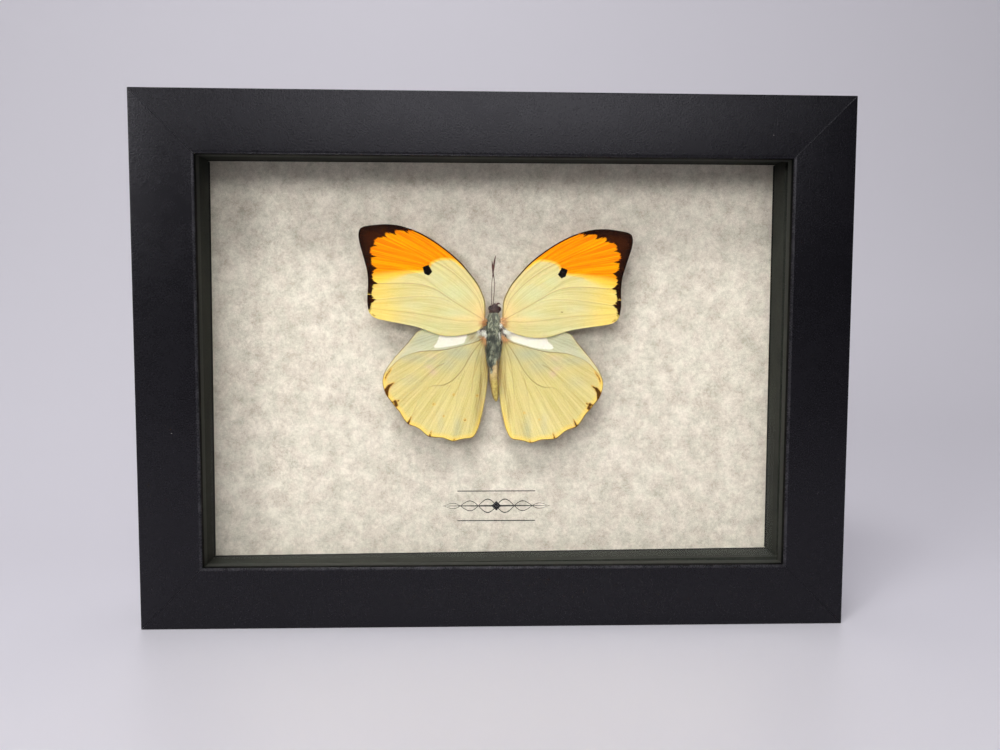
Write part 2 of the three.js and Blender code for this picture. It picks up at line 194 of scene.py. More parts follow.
class Value:
    def __init__(self, socket):
        self.socket = socket
        self.tree = socket.id_data

    __add__, __sub__, __mul__ = maths("ADD"), maths("SUBTRACT"), maths("MULTIPLY")
    __truediv__, __pow__, __abs__ = maths("DIVIDE"), maths("POWER"), maths("ABSOLUTE")
    __lt__, __gt__ = maths("LESS_THAN"), maths("GREATER_THAN")
    sine, larger = maths("SINE"), maths("MAXIMUM")


def add_node(tree, kind, inputs=None, **settings):
    """Adds a node and returns its outputs by name and by number. An input that is given a Value is linked to
    it, and any other value is stored."""
    node = tree.nodes.new(kind)
    for setting, value in settings.items():
        setattr(node, setting, value)
    for key, value in (inputs or {}).items():
        if isinstance(value, Value):
            tree.links.new(value.socket, node.inputs[key])
        else:
            node.inputs[key].default_value = value
    return {key: Value(output) for place, output in enumerate(node.outputs) for key in (output.name, place)}


def rescale(value, low, high, to_low=0, to_high=1, smooth=False):
    """Carries a value from one range to another, and stops at its ends."""
    inputs = {"Value": value, "From Min": low, "From Max": high, "To Min": to_low, "To Max": to_high}
    kind = "SMOOTHSTEP" if smooth else "LINEAR"
    return add_node(value.tree, "ShaderNodeMapRange", inputs, interpolation_type=kind)["Result"]


def screen_colour(red, green, blue):
    """A colour as a screen shows it, from 0 to 255, turned into the linear values that a shader reads."""
    share = np.array([red, green, blue]) / 255
    linear = np.where(share <= 0.04045, share / 12.92, ((share + 0.055) / 1.055) ** 2.4)
    return (*map(float, linear), 1.0)


def mix(factor, first, second, blend="MIX"):
    """Mixes two colours, each a Value or a screen colour's three numbers."""
    first, second = [c if isinstance(c, Value) else screen_colour(*c) for c in (first, second)]
    inputs = {0: factor, 6: first, 7: second}  # the mix node's factor, and its two colours
    return add_node(factor.tree, "ShaderNodeMix", inputs, data_type="RGBA", blend_type=blend)[2]


def painted(colour, *coats):
    """A colour under coats of paint: each is how much of it covers, and its colour."""
    for cover, coat in coats:
        colour = mix(cover, colour, coat)
    return colour


class Finish:
    """A material with one Principled shader, whose even values are set on its own sockets."""

    def __init__(self, name, **shader_values):
        self.material = bpy.data.materials.new(name)
        self.material.use_nodes = True
        self.tree = self.material.node_tree
        self.shader = self.tree.nodes["Principled BSDF"]
        for socket, value in shader_values.items():
            self.shader.inputs[socket.replace("_", " ")].default_value = value
        self.place = add_node(self.tree, "ShaderNodeTexCoord")["Object"]

    def millimetres(self, axis):
        """The place along one axis."""
        return add_node(self.tree, "ShaderNodeSeparateXYZ", {"Vector": self.place})[axis] / MM

    def noise(self, size_mm, detail=2, roughness=0.5, stretch=(1, 1, 1), shift=0):
        """Cloudy noise whose blobs are about size_mm across."""
        scale = [axis / (size_mm * MM) for axis in stretch]
        inputs = {"Vector": self.place, "Scale": scale, "Location": (shift,) * 3}
        moved = add_node(self.tree, "ShaderNodeMapping", inputs)["Vector"]
        inputs = {"Vector": moved, "Scale": 1, "Detail": detail, "Roughness": roughness}
        return add_node(self.tree, "ShaderNodeTexNoise", inputs)["Fac"]

    def cells(self, per_metre):
        """Distance to the nearest of many scattered points."""
        inputs = {"Vector": self.place, "Scale": per_metre}
        return add_node(self.tree, "ShaderNodeTexVoronoi", inputs)["Distance"]

    def carried(self, name):
        """A value that the mesh carries at its points."""
        settings = {"attribute_name": name, "attribute_type": "GEOMETRY"}
        return add_node(self.tree, "ShaderNodeAttribute", **settings)["Fac"]

    def use(self, group, **values):
        """One use of a node group, with its own values."""
        inputs = {socket.replace("_", " "): value for socket, value in values.items()}
        return add_node(self.tree, "ShaderNodeGroup", {"Place": self.place, **inputs}, node_tree=group)

    def dress(self, pieces, height=None, bump_mm=0.05, **varying):
        """Links what varies over the surface to the shader, and puts the material on pieces in place of
        theirs. The height goes through a Bump node."""
        if height:
            inputs = {"Height": height, "Distance": bump_mm * MM}
            varying["Normal"] = add_node(self.tree, "ShaderNodeBump", inputs)["Normal"]
        for socket, value in varying.items():
            self.tree.links.new(value.socket, self.shader.inputs[socket.replace("_", " ")])
        for piece in pieces:
            piece.data.materials.clear()
            piece.data.materials.append(self.material)

# %% [markdown]
# ## Shared effects
# Grain is a fine two-size unevenness: foil and spacers have it, each at its own size. Specks are the few
# grains of dust that lie on the dark foil. Each group has a recipe, which gets the group's inputs and gives
# its outputs.


# %% Node groups for grain and specks
def new_group(name, numbers, recipe):
    """A node group with a Place, and numbers with their usual values, as inputs."""
    group = bpy.data.node_groups.new(name, "ShaderNodeTree")
    group.interface.new_socket("Place", in_out="INPUT", socket_type="NodeSocketVector")
    for socket, value in numbers.items():
        made = group.interface.new_socket(socket, in_out="INPUT", socket_type="NodeSocketFloat")
        made.default_value = value
    outputs = recipe(group, add_node(group, "NodeGroupInput"))
    for socket in outputs:
        group.interface.new_socket(socket, in_out="OUTPUT", socket_type="NodeSocketFloat")
    add_node(group, "NodeGroupOutput", outputs)
    return group


def grain_recipe(tree, source):
    def clouds(per_metre, detail):
        inputs = {"Vector": source["Place"], "Scale": per_metre, "Detail": detail}
        return add_node(tree, "ShaderNodeTexNoise", inputs)["Fac"]

    coarse_share = source["Coarse Share"]
    fine_part = clouds(source["Per Metre"], 3) * rescale(coarse_share, 0, 1, 1, 0)
    height = fine_part + clouds(source["Per Metre"] * 0.12, 2) * coarse_share
    return {"Height": height, "Tone": rescale(height, 0.3, 0.7)}


def specks_recipe(tree, source):
    """A dot in a few of the cells that scattered points make, each of its own size."""
    cells = add_node(tree, "ShaderNodeTexVoronoi", {"Vector": source["Place"], "Scale": source["Per Metre"]})
    chosen = add_node(tree, "ShaderNodeSeparateColor", {"Color": cells["Color"]})
    dot = cells["Distance"] < source["Radius"] * chosen["Green"]
    return {"Mask": dot * (chosen["Red"] > 0.72)}


grain = new_group("Grain", {"Per Metre": 2000, "Coarse Share": 0.3}, grain_recipe)
specks = new_group("Specks", {"Per Metre": 60, "Radius": 0.02}, specks_recipe)
print("groups:", [group.name for group in bpy.data.node_groups])

# %% [markdown]
# ## The mouldings
# The real mouldings are fibreboard lengths wrapped in black foil, cut at 45 degrees and glued. Their front
# edge round the opening is broken by a narrow bevel, and it catches the light. A profile carried along each
# side shows it better than the faceted solid: the same profile is drawn once, with fine arcs at its corners,
# and its two ends are slid back by how far each point stands from the outer side, which makes the mitre.

# %% The profile of the moulding
RAIL = 17.75
LIP_DEPTH = 5.0
LIP_REACH = 5.25
MITRE_GAP = 0.06
BEVEL = 0.5
CORNERS = [  # inward, back, how far from the corner its curve starts
    (0, 0, 0.45), (RAIL - BEVEL, 0, 0.35), (RAIL, BEVEL / 2, 0.22), (RAIL, LIP_DEPTH, 0.3),
    (RAIL - LIP_REACH, LIP_DEPTH, 0.15), (RAIL - LIP_REACH, DEPTH, 0.3), (0, DEPTH, 0.45),
]
CORNER_STEPS = 7
# The profile's points that get the painted highlight of the bevel
HIGHLIGHT_POINTS = slice(8, 20)  # the profile's points on both curves of the bevel


def unit(vectors):
    return vectors / np.linalg.norm(vectors, axis=-1, keepdims=True)


def rounded_profile(corners):
    """A closed outline. Round each corner runs corner + radius * ((1 - t)^2 * way back + t^2 * way on), a
    curve that touches both sides a radius away from the corner."""
    places = np.array([corner[:2] for corner in corners], float)
    way_back = unit(np.roll(places, 1, axis=0) - places)[:, None]
    way_on = unit(np.roll(places, -1, axis=0) - places)[:, None]
    radius = np.array([corner[2] for corner in corners])[:, None, None]
    t = np.linspace(0, 1, CORNER_STEPS)[:, None]
    return (places[:, None] + radius * ((1 - t) ** 2 * way_back + t**2 * way_on)).reshape(-1, 2)


def moulding(side, degrees, length, reach, samples=60):
    """The profile carried along one side. A point at share s of the length, inward by w, lies at w + s *
    (length - 2 * w) along it, so both ends are mitred; degrees turn it round the frame's middle. Close rings
    at both ends keep the shading of the long faces flat right up to the mitre."""
    profile = rounded_profile(CORNERS)
    inward, depth = profile.T
    near_end = np.array([0, 0.0008, 0.002])
    share = np.r_[near_end, np.linspace(0.006, 0.994, samples - 6), 1 - near_end[::-1]][:, None]
    set_back = inward + MITRE_GAP / 2
    along = set_back + share * (length - 2 * set_back) - length / 2
    across = np.broadcast_to(inward - reach, along.shape)
    turn = math.radians(degrees)
    x = along * math.cos(turn) - across * math.sin(turn)
    z = along * math.sin(turn) + across * math.cos(turn)
    points = np.stack([x, np.broadcast_to(depth + FRONT, along.shape), z + MIDDLE], -1).reshape(-1, 3)
    # A painted highlight along the bevel, on every side but the top, whose bevel faces down
    painted_highlight = np.zeros(len(profile))
    painted_highlight[HIGHLIGHT_POINTS] = side != "top"
    fields = {"painted_highlight": np.tile(painted_highlight, samples), "lip_wall": np.tile(inward > RAIL - 0.01, samples)}
    faces = closed_faces(samples, len(profile), ends_face_in=True)
    piece = make_piece(f"moulding_{side}", points, faces, fields)
    for end in (-1, -2):
        piece.data.polygons[end].use_smooth = False
    return dress_node(piece, f"frame_rail_{side}")


def dress_node(piece, node):
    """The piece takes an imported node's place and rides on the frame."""
    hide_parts(node)
    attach(piece, "root")
    return piece


mouldings = []
for quarter, side in enumerate(SIDES):
    length, reach = (WIDTH, HEIGHT / 2) if quarter % 2 == 0 else (HEIGHT, WIDTH / 2)
    mouldings.append(moulding(side, 90 * quarter, length, reach))
print("mouldings:", [len(piece.data.polygons) for piece in mouldings])

# %% [markdown]
# The foil is a dark, slightly violet grey with a satin gloss. Its gloss is broken by the fine grain pressed
# into the foil and by the fibreboard under it. Round the opening, except at the top, where the bevel faces
# down, a painted highlight lightens the bevel. The lip's inner wall is duller, and painted lighter for the
# light that the paper throws back on it, with a painted dark line of shade along its front. A few grains of
# dust lie on the foil.

# %% Black foil
finish = Finish("black_foil", Roughness=0.27, Specular_IOR_Level=0.27, Specular_Tint=(0.93, 0.91, 1, 1))
texture = finish.use(grain, Per_Metre=2300, Coarse_Share=0.3)
dust = finish.use(specks, Per_Metre=90, Radius=0.02)["Mask"]
cloud = finish.noise(22, detail=3)
lip_wall = finish.carried("lip_wall")
tint = painted(
    mix(cloud, (7, 6, 9), (11, 10, 14)),
    (rescale(texture["Tone"], 0, 1, 0, 0.3), (22, 21, 27)),
    # painted highlight on the bevel, broken up by noise
    (finish.carried("painted_highlight") * rescale(finish.noise(2.5, detail=5), 0.35, 0.7, 0.2, 0.9), (54, 53, 56)),
    # the lip's inner wall painted lighter, for the light that the paper throws back on it
    (lip_wall, (64, 65, 60)),
    # a painted dark line of shade along the front of the lip wall
    (lip_wall * rescale(finish.millimetres("Y"), FRONT + 2.3, FRONT + 1.7), (3, 3, 3)),
    (dust, (150, 148, 144)),
)
gloss = rescale(texture["Tone"] + cloud, 0.4, 1.6, 0.22, 0.32) + lip_wall * 0.4
shine = rescale(lip_wall, 0, 1, 0.27, 0.05)
finish.dress(mouldings, texture["Height"], 0.08, Base_Color=tint, Roughness=gloss, Specular_IOR_Level=shine)

# %% [markdown]
# ## Glass, spacers and the back
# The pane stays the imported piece, because its shape is right. Its low refractive index stands in for a coat
# against mirror images. Lamps are sampled along straight lines, and a pane would stop those lines, so the
# pane casts no shadow: what is behind it gets its light as through real glass.

# %% Clear glass
pane = nodes["glass_pane"]
nearly_white = screen_colour(250, 252, 251)
clear = Finish("clear_glass", Roughness=0, IOR=1.2, Transmission_Weight=1, Base_Color=nearly_white)
clear.dress([pane])
pane.visible_shadow = False

# %% Spacer strips, foam board, back panel and steel
finish = Finish("spacer_black", Roughness=0.7, Specular_IOR_Level=0.06)
texture = finish.use(grain, Per_Metre=1500, Coarse_Share=0.5)
tone = mix(texture["Tone"], (40, 41, 38), (54, 55, 50))
# A painted shadow: the strips turn near black close to their back, where they meet the paper
tone = mix(rescale(finish.millimetres("Y"), PAPER - 1.9, PAPER - 1.2), tone, (4, 4, 3))
finish.dress([nodes[f"spacer_{side}"] for side in SIDES], texture["Height"], 0.03, Base_Color=tone)

finish = Finish("foam_white", Roughness=0.85)
bubbles = finish.cells(2500)
tone = mix(bubbles, (226, 226, 220), (246, 246, 242))
finish.dress([nodes["foam_board"]], bubbles, 0.1, Base_Color=tone)

finish = Finish("hardboard", Roughness=0.78)
fibres = finish.noise(1.1, detail=6, roughness=0.75, stretch=(1, 1, 2.4))
pressed = fibres * finish.noise(1.3, detail=6, roughness=0.75, stretch=(2.2, 1, 1), shift=3)
cloud = finish.noise(30, detail=3, shift=7)
tone = mix(rescale(pressed, 0.12, 0.4), (74, 54, 38), (128, 98, 70))
tone = mix(rescale(cloud, 0.3, 0.7, 0, 0.35), tone, (92, 68, 48))
gloss = rescale(fibres, 0.2, 0.8, 0.7, 0.86)
finish.dress([nodes["back_panel"]], pressed, 0.12, Base_Color=tone, Roughness=gloss)

finish = Finish("stamped_steel", Metallic=1, Roughness=0.3)
brushed = finish.noise(0.5, detail=4, roughness=0.7, stretch=(0.08, 1, 2.5))
stain = finish.noise(3, detail=3, shift=2)
tone = mix(brushed, (176, 178, 180), (214, 214, 212))
tone = mix(rescale(stain, 0.45, 0.75, 0, 0.5), tone, (150, 148, 142))
steel_nodes = [node for name, node in nodes.items() if name.startswith("retaining_tab")]
steel_nodes += [nodes["sawtooth_hanger"], nodes["mounting_pin"]]
finish.dress(steel_nodes, brushed, 0.01, Base_Color=tone, Roughness=rescale(brushed, 0.2, 0.8, 0.22, 0.42))
print("steel pieces:", len(steel_nodes))

# %% [markdown]
# ## Mottled paper
# The sheet behind the butterfly is parchment paper: soft clouds a few millimetres across in two warm greys,
# and fine fibres through them. Three sizes of noise are added up, and the sum is spread over the colours. Low
# on the sheet a small printed ornament marks where a label goes: a rule that swells to its middle, with a
# lozenge on it, two waves that cross along it, and a thin rule above and below. It is ink, so it is colour
# only.

# %% Parchment with a printed ornament
INK_HEIGHT = MIDDLE - 44.4
INK_CENTRE = 0.5
RULE_HALF = 16.6  # half the length of the middle rule
RULE_WIDTH = 0.26  # half its width in the middle
WAVE_HEIGHT = 2.3
WAVE_WIDTH = 0.17
LOZENGE = 1.5
THIN_RULE = (4.6, 0.14, 0.72)  # how far from the middle one, half its width, and its share of the length
finish = Finish("parchment", Roughness=0.9, Specular_IOR_Level=0.25)
clouds = finish.noise(4.4, detail=5, roughness=0.6)
patches = finish.noise(1.5, detail=4, roughness=0.75, shift=11)
fibres = finish.noise(0.45, detail=3, roughness=0.8, shift=5)
mottle = clouds * 0.55 + patches * 0.45 + (fibres - 0.5) * 0.5
light = rescale(mottle, 0.32, 0.64)
pinkish = mix(light, (173, 160, 146), (221, 210, 196))
greenish = mix(light, (171, 163, 148), (219, 210, 195))
hue = finish.noise(3.4, detail=3, shift=17)
parchment = mix(rescale(hue, 0.42, 0.58), greenish, pinkish)

across = finish.millimetres("X") - INK_CENTRE
above = finish.millimetres("Z") - INK_HEIGHT
share = abs(across) / RULE_HALF
swell = rescale(share, 0, 1, 1, 0)
wave = (share * (3 * math.pi)).sine() * WAVE_HEIGHT * swell**0.6
wave_width = swell**0.5 * WAVE_WIDTH
ink = (abs(above) < swell**0.7 * RULE_WIDTH).larger(abs(across) + abs(above) < LOZENGE)
ink = ink.larger(abs(above - wave) < wave_width).larger(abs(above + wave) < wave_width)
ink = ink.larger((abs(abs(above) - THIN_RULE[0]) < THIN_RULE[1]) * (share < THIN_RULE[2]))
printed = mix(ink, parchment, (30, 29, 30))
finish.dress([nodes["backing_paper"]], mottle, 0.12, Base_Color=printed)

# %% [markdown]
# ## Wings from their veins
# A butterfly's wing is a thin film held by veins that fan out from the root to the rim. The markings follow
# the veins: the dark border reaches inward along each of them, and the scales lie in rows between them. So
# the veins are drawn first, as lines on the flat wing, and the surface is stretched between each two
# neighbours. That makes the mesh run along the veins, and the material gets the distance to the nearest vein
# at every point. Places on the right wing are x from the middle of the frame and height from the middle of
# the opening.

# %% How each wing is spread
BODY_AXIS = -0.6
WING_DEPTH = PAPER - 5.15
ROOTS = {"forewing": np.array([2.5, 12.0]), "hindwing": np.array([2.7, 7.5])}
SPREAD = {  # mirror, turn in degrees, size
    ("forewing", "left"): (-1, 2.5, 0.99),
    ("forewing", "right"): (1, 0, 1),
    ("hindwing", "left"): (-1, 1.6, 0.991),
    ("hindwing", "right"): (1, 0, 1),
}


def spread_wing(plan, kind, side):
    """The flat wing, turned about its root, sized, and mirrored for the left side."""
    mirror, degrees, size = SPREAD[kind, side]
    turn = math.radians(degrees)
    across, up = ((plan - (BODY_AXIS, 0) - ROOTS[kind]) * size).T
    out = ROOTS[kind][0] + across * math.cos(turn) - up * math.sin(turn)
    height = ROOTS[kind][1] + across * math.sin(turn) + up * math.cos(turn)
    return np.column_stack([BODY_AXIS + mirror * out, height])


# %% Distances on the flat wing
def along_stretch(points, start, end):
    """The share of a stretch at which each point is dropped on it, no further than its ends, and the distance
    to it."""
    along = end - start
    share = np.clip((points - start) @ along / max(along @ along, 1e-12), 0, 1)
    return share, np.linalg.norm(points - start - share[:, None] * along, axis=1)


def distance_to_line(points, line):
    """Shortest distance from each point to a line of short stretches."""
    least = np.full(len(points), np.inf)
    for start, end in zip(line[:-1], line[1:]):
        least = np.minimum(least, along_stretch(points, start, end)[1])
    return least


def inside_outline(points, outline):
    """True where a level line from the point to the right crosses the outline an odd number of times."""
    crossings = np.zeros(len(points), int)
    for (x0, z0), (x1, z1) in zip(outline, np.roll(outline, -1, axis=0)):
        crosses = (points[:, 1] < z0) != (points[:, 1] < z1)
        slope = (x1 - x0) / (z1 - z0) if z1 != z0 else 0.0
        crossings += crosses & (points[:, 0] < x0 + (points[:, 1] - z0) * slope)
    return crossings % 2 == 1


def depth_inside(points, outline):
    """Distance to a closed outline, above 0 inside it and below 0 outside."""
    closed = np.vstack([outline, outline[:1]])
    return np.where(inside_outline(points, outline), 1, -1) * distance_to_line(points, closed)


def depth_in_strokes(points, strokes):
    """Depth inside brush strokes; a stroke runs from (x, z) to (x, z), and its half width goes from one value
    to another."""
    deepest = np.full(len(points), -np.inf)
    for *ends, width0, width1 in strokes:
        share, gap = along_stretch(points, np.array(ends[:2]), np.array(ends[2:]))
        deepest = np.maximum(deepest, width0 + share * (width1 - width0) - gap)
    return deepest


def soft_spots(points, spots):
    """Blurred patches: each is exp(-(x offset / half width)^2 - (z offset / half height)^2) times its
    strength, and the strongest counts. A spot is x, z, half width, half height, strength."""
    layers = [
        strength * np.exp(-(((points[:, 0] - x) / wide) ** 2) - ((points[:, 1] - z) / high) ** 2)
        for x, z, wide, high, strength in spots
    ]
    return np.max(layers, axis=0)


# %% A wing between its veins
FAN = np.array([0, 0.02, 0.055, 0.11, 0.19, 0.3, 0.43, 0.57, 0.7, 0.81, 0.89, 0.945, 0.98])
VEIN_REACH = 0.5
VEIN_HEIGHT = 0.035
HOLLOW = 0.07
FILM = 0.13
RIM_SAMPLES = 300


def stretch_wing(lines, margin, rows):
    """The flat wing as a grid. Lines run from the root to the margin. A point at share f between line i and
    the next, and at share t of their length, lies at (1 - f) * line_i(t) + f * next(t); towards the margin it
    is moved by t^4 times what the straight rim would miss of the real one. Returns points, and the grid's f
    and t."""
    rim = smooth_line(margin, 1200)
    ends = [int(np.argmin(np.linalg.norm(rim - line[-1], axis=1))) for line in lines]
    ends[0], ends[-1] = 0, len(rim) - 1
    curves = [smooth_line([*line[:-1], rim[end]], rows) for line, end in zip(lines, ends)]
    t = np.linspace(0, 1, rows)[:, None]
    columns, shares = [], []
    for i in range(len(lines) - 1):
        fan = FAN if i < len(lines) - 2 else np.r_[FAN, 1.0]
        for f in fan:
            straight = (1 - f) * curves[i] + f * curves[i + 1]
            place_on_rim = ends[i] + f * (ends[i + 1] - ends[i])
            real_end = [np.interp(place_on_rim, np.arange(len(rim)), axis) for axis in rim.T]
            columns.append(straight + t**4 * (real_end - straight[-1]))
            shares.append(i + f)
    plan = np.stack(columns, axis=1)
    return plan.reshape(-1, 2), np.tile(shares, rows), np.repeat(t[:, 0], len(shares)), curves


def vein_field(points, curves, veins):
    """1 on a vein, falling evenly to 0 at VEIN_REACH from it, and the strength of the vein that shows most
    there. A vein shows from a share of its length on."""
    tent = np.zeros(len(points))
    strength = np.zeros(len(points))
    for curve, (shows_from, vein_strength) in zip(curves, veins):
        shown = curve[int(shows_from * len(curve)):: 2]
        near = np.clip(1 - distance_to_line(points, shown) / VEIN_REACH, 0, 1)
        stronger = near * vein_strength > tent * strength
        tent = np.where(stronger, near, tent)
        strength = np.where(stronger, vein_strength, strength)
    return tent, strength


def film(kind, side, plan, lift, rows, fields, uv):
    """A thin closed film: the grid of points on its front, the same points a little deeper on its back, and a
    row of faces round the rim. Its thickness falls to a quarter at the rim."""
    places = spread_wing(plan, kind, side)
    columns = len(places) // rows
    number = np.arange(rows * columns).reshape(rows, columns)
    ring = np.concatenate([number[0], number[1:, -1], number[-1, -2::-1], number[-2:0:-1, 0]])
    thickness = FILM * (0.25 + 0.75 * smoothstep(fields["rim"], -0.01, 0.5))
    layers = [
        np.column_stack([places[:, 0], WING_DEPTH - lift + half * thickness, places[:, 1] + MIDDLE])
        for half in (-0.5, 0.5)
    ]
    faces = grid_faces(rows, columns)
    behind = faces[:, ::-1] + len(places)
    following = np.roll(ring, -1)
    edge = np.stack([following, ring, ring + len(places), following + len(places)], -1)
    both = {field: np.tile(values, 2) for field, values in fields.items()}
    faces = np.vstack([faces, behind, edge])
    piece = make_piece(f"{kind}_film_{side}", np.vstack(layers), faces, both, np.tile(uv, (2, 1)))
    return dress_node(piece, f"{kind}_{side}")


def build_wing(kind, side, lines, margin, rows, bend, markings):
    """One wing. bend says how far its points stand towards the viewer; markings says what its material reads,
    and how the streaks of its scales run."""
    plan, f, t, curves = stretch_wing([np.array(points, float) for points, _, _ in lines], margin, rows)
    veins, strength = vein_field(plan, curves, [line[1:] for line in lines])
    between = np.sin(math.pi * (f % 1)) * smoothstep(t, 0.1, 0.5)
    lift = bend(plan) + VEIN_HEIGHT * veins**2 * strength - HOLLOW * between
    marks, uv = markings(plan, side, f, t, curves, veins)
    fields = {"vein": veins, "vein_strength": strength, "along": t, **marks}
    return film(kind, side, plan, lift, rows, fields, uv)


# %% Forewing veins: points, then from what share of its length the vein shows, and how strongly
FORE_MARGIN = [
    (25, 38.4), (28.6, 39.25), (32.2, 39.45), (35.6, 39.1), (38.4, 38.6), (39.8, 38), (40.3, 37.2),
    (40.45, 35.8), (40.2, 34.2), (39.7, 32.4), (38.9, 30), (38.2, 27.8), (37.6, 25.8), (37.25, 23.8),
    (37.1, 21.8), (37.1, 19.6), (37.15, 18), (37.15, 16.4), (36.9, 14.8), (36.6, 13.5), (35.8, 12.4),
]
FORE_LINES = [
    ([(1.9, 12.6), (2, 16), (2.2, 18), (2.9, 20), (4.4, 22.9), (6.6, 25.7), (9.8, 29.2), (13.6, 32.3),
      (17.8, 35.1), (21.8, 37.2), (25, 38.4)], 0, 0),
    ([(1.9, 12.5), (2.7, 16), (3.7, 19.2), (5.6, 22.3), (8.2, 25.6), (12, 29), (16, 31.9), (20.5, 34.7),
      (24, 36.4), (26.2, 37.3), (29.2, 39.2)], 0, 0.5),
    ([(1.9, 12.45), (2.9, 15.8), (4, 18.9), (6.1, 21.8), (9, 24.6), (12, 26.9), (15.5, 29.4), (20, 31.9),
      (25, 34.4), (29.3, 36.4), (34, 39.3)], 0.28, 0.35),
    ([(1.9, 12.4), (3.1, 15.6), (4.3, 18.6), (6.6, 21.4), (9.6, 24.2), (12.6, 26.5), (15.4, 28.2),
      (18.2, 29.5), (22, 31.2), (27, 33.3), (32.4, 35.7), (38.6, 38.5)], 0, 0.85),
    ([(1.9, 12.35), (3.3, 15.3), (5, 18.2), (7.6, 21), (10.8, 23.6), (14, 25.8), (17, 27.6), (20, 29),
      (24, 30.5), (30, 31.9), (35.2, 32.95), (39.9, 33.9)], 0.5, 0.5),
    ([(1.9, 12.3), (3.6, 14.9), (6, 17.5), (9, 20.2), (12.4, 22.7), (15.6, 24.8), (18.4, 26.5), (20.6, 27.5),
      (25, 28.3), (30, 29), (35.2, 29.8), (38.95, 30.4)], 0.56, 0.6),
    ([(1.9, 12.2), (3.9, 13.9), (7, 15.6), (10.2, 17.5), (13.5, 19.7), (16.4, 21.6), (18.8, 23.2), (21, 24.6),
      (24, 25.7), (29, 26.2), (34.6, 26.4), (37.9, 26.8)], 0.46, 0.5),
    ([(1.9, 12.15), (3.9, 13.5), (7, 15.2), (10.2, 17), (13.6, 19), (16.6, 20.8), (19, 21.7), (22, 22.3),
      (27, 22.4), (34.4, 21.9), (37.1, 21.8)], 0, 1),
    ([(1.9, 12.1), (3.9, 13.2), (7, 14.8), (10, 16.4), (13, 17.9), (16, 18.6), (20, 18.7), (26, 18.3),
      (34.9, 17), (37.15, 16.8)], 0.33, 0.55),
    ([(1.9, 12), (4.5, 12.2), (8, 12), (12, 12.3), (17, 13), (24, 13.8), (31, 14.2), (36.9, 14.6)], 0, 0.5),
    ([(1.9, 11.8), (2.2, 10.9), (3, 9.9), (4.6, 9), (7, 8.1), (10, 7.5), (13, 7.3), (15.6, 7.5), (18, 8.2),
      (21, 9.2), (24, 9.9), (28, 10.5), (32, 11.1), (34.4, 11.6), (35.8, 12.4)], 0, 0),
]

# %% [markdown]
# The dark border is scalloped: between two cusps, which point inward along the veins, the bright colour
# bulges out to a rounded tip. Each scallop is one formula: on the chord between its cusps, plus a swelling
# towards its tip that rises steeply at both ends. The orange field, the black spot and the specks are
# outlines too.

# %% Forewing markings
SCALLOPS = [  # cusp, then the tip of the lobe that follows it
    ((22.4, 37.65), (24.6, 38)), ((26.4, 37.45), (28.8, 37.85)), ((29.9, 36.8), (32.3, 37)),
    ((32.7, 35.8), (35.35, 34.7)), ((35.4, 32.95), (36.8, 31.5)), ((35.4, 29.85), (36.6, 28.5)),
    ((34.9, 26.4), (35.85, 24.3)), ((34.8, 21.9), (35.8, 19.6)), ((35.2, 17.2), (35.9, 15.5)),
]
BORDER_END = (36.6, 13.7)
BEYOND_MARGIN = [(39, 14), (45, 20), (45, 44), (22, 44)]
ORANGE = [
    (7, 27.2), (9.5, 28.5), (11, 29.7), (12.6, 30.35), (14.5, 30.45), (16.5, 30.1), (18, 29.5), (18.9, 28.8),
    (19.5, 27.8), (20.2, 26.8), (22, 26.4), (25, 26.2), (28, 25.8), (31, 25.3), (34, 24.7), (38, 24),
    (46, 24), (46, 46), (5, 46), (4, 30),
]
SPOT = [(19.55, 28), (21.15, 27.3), (20.5, 25.5), (19.4, 25.05), (18.45, 26.1)]
FORE_SPECKS = [(36.2, 13.8, 36.25, 14, 0.16, 0.2), (34.7, 12.35, 35.5, 12.75, 0.1, 0.16)]
CHIP = [(36.7, 18.6, 37.4, 18.75, 0.12, 0.22)]
DIRT = {"right": [(19, 15.25, 19.8, 14.9, 0.12, 0.24)], "left": [(14.6, 13.2, 14.7, 13.2, 0.1, 0.1)]}
FORE_GREEN = [
    (11, 20.5, 6, 3.2, 0.9), (16.5, 24.2, 4, 2.6, 0.7), (12, 14.2, 5, 1.6, 0.8), (18, 10, 9, 1.6, 0.6),
    (24, 16, 5, 1.4, 0.5),
]
FORE_WARM = [(3, 14, 3, 4.5, 0.9), (8, 12.6, 5, 1.2, 0.6), (5, 22.5, 1.2, 4, 0.4)]


def scalloped_line(scallops, end, samples=26):
    """From cusp to cusp: chord(s) + (tip - middle of the chord) * (1 - |2s - 1|^2)^0.8."""
    cusps = np.array([cusp for cusp, tip in scallops] + [end])
    tips = np.array([tip for cusp, tip in scallops])
    s = np.linspace(0, 1, samples, endpoint=False)[:, None]
    swelling = (1 - (2 * s - 1) ** 2) ** 0.8
    lobes = [
        first + s * (last - first) + swelling * (tip - (first + last) / 2)
        for first, last, tip in zip(cusps[:-1], cusps[1:], tips)
    ]
    return np.vstack([*lobes, cusps[-1:]])


def forewing_bend(plan):
    """The forewing rises with the distance out and droops away from its middle."""
    return 0.03 * (plan[:, 0] - BODY_AXIS) - 0.0016 * (plan[:, 1] - 22) ** 2


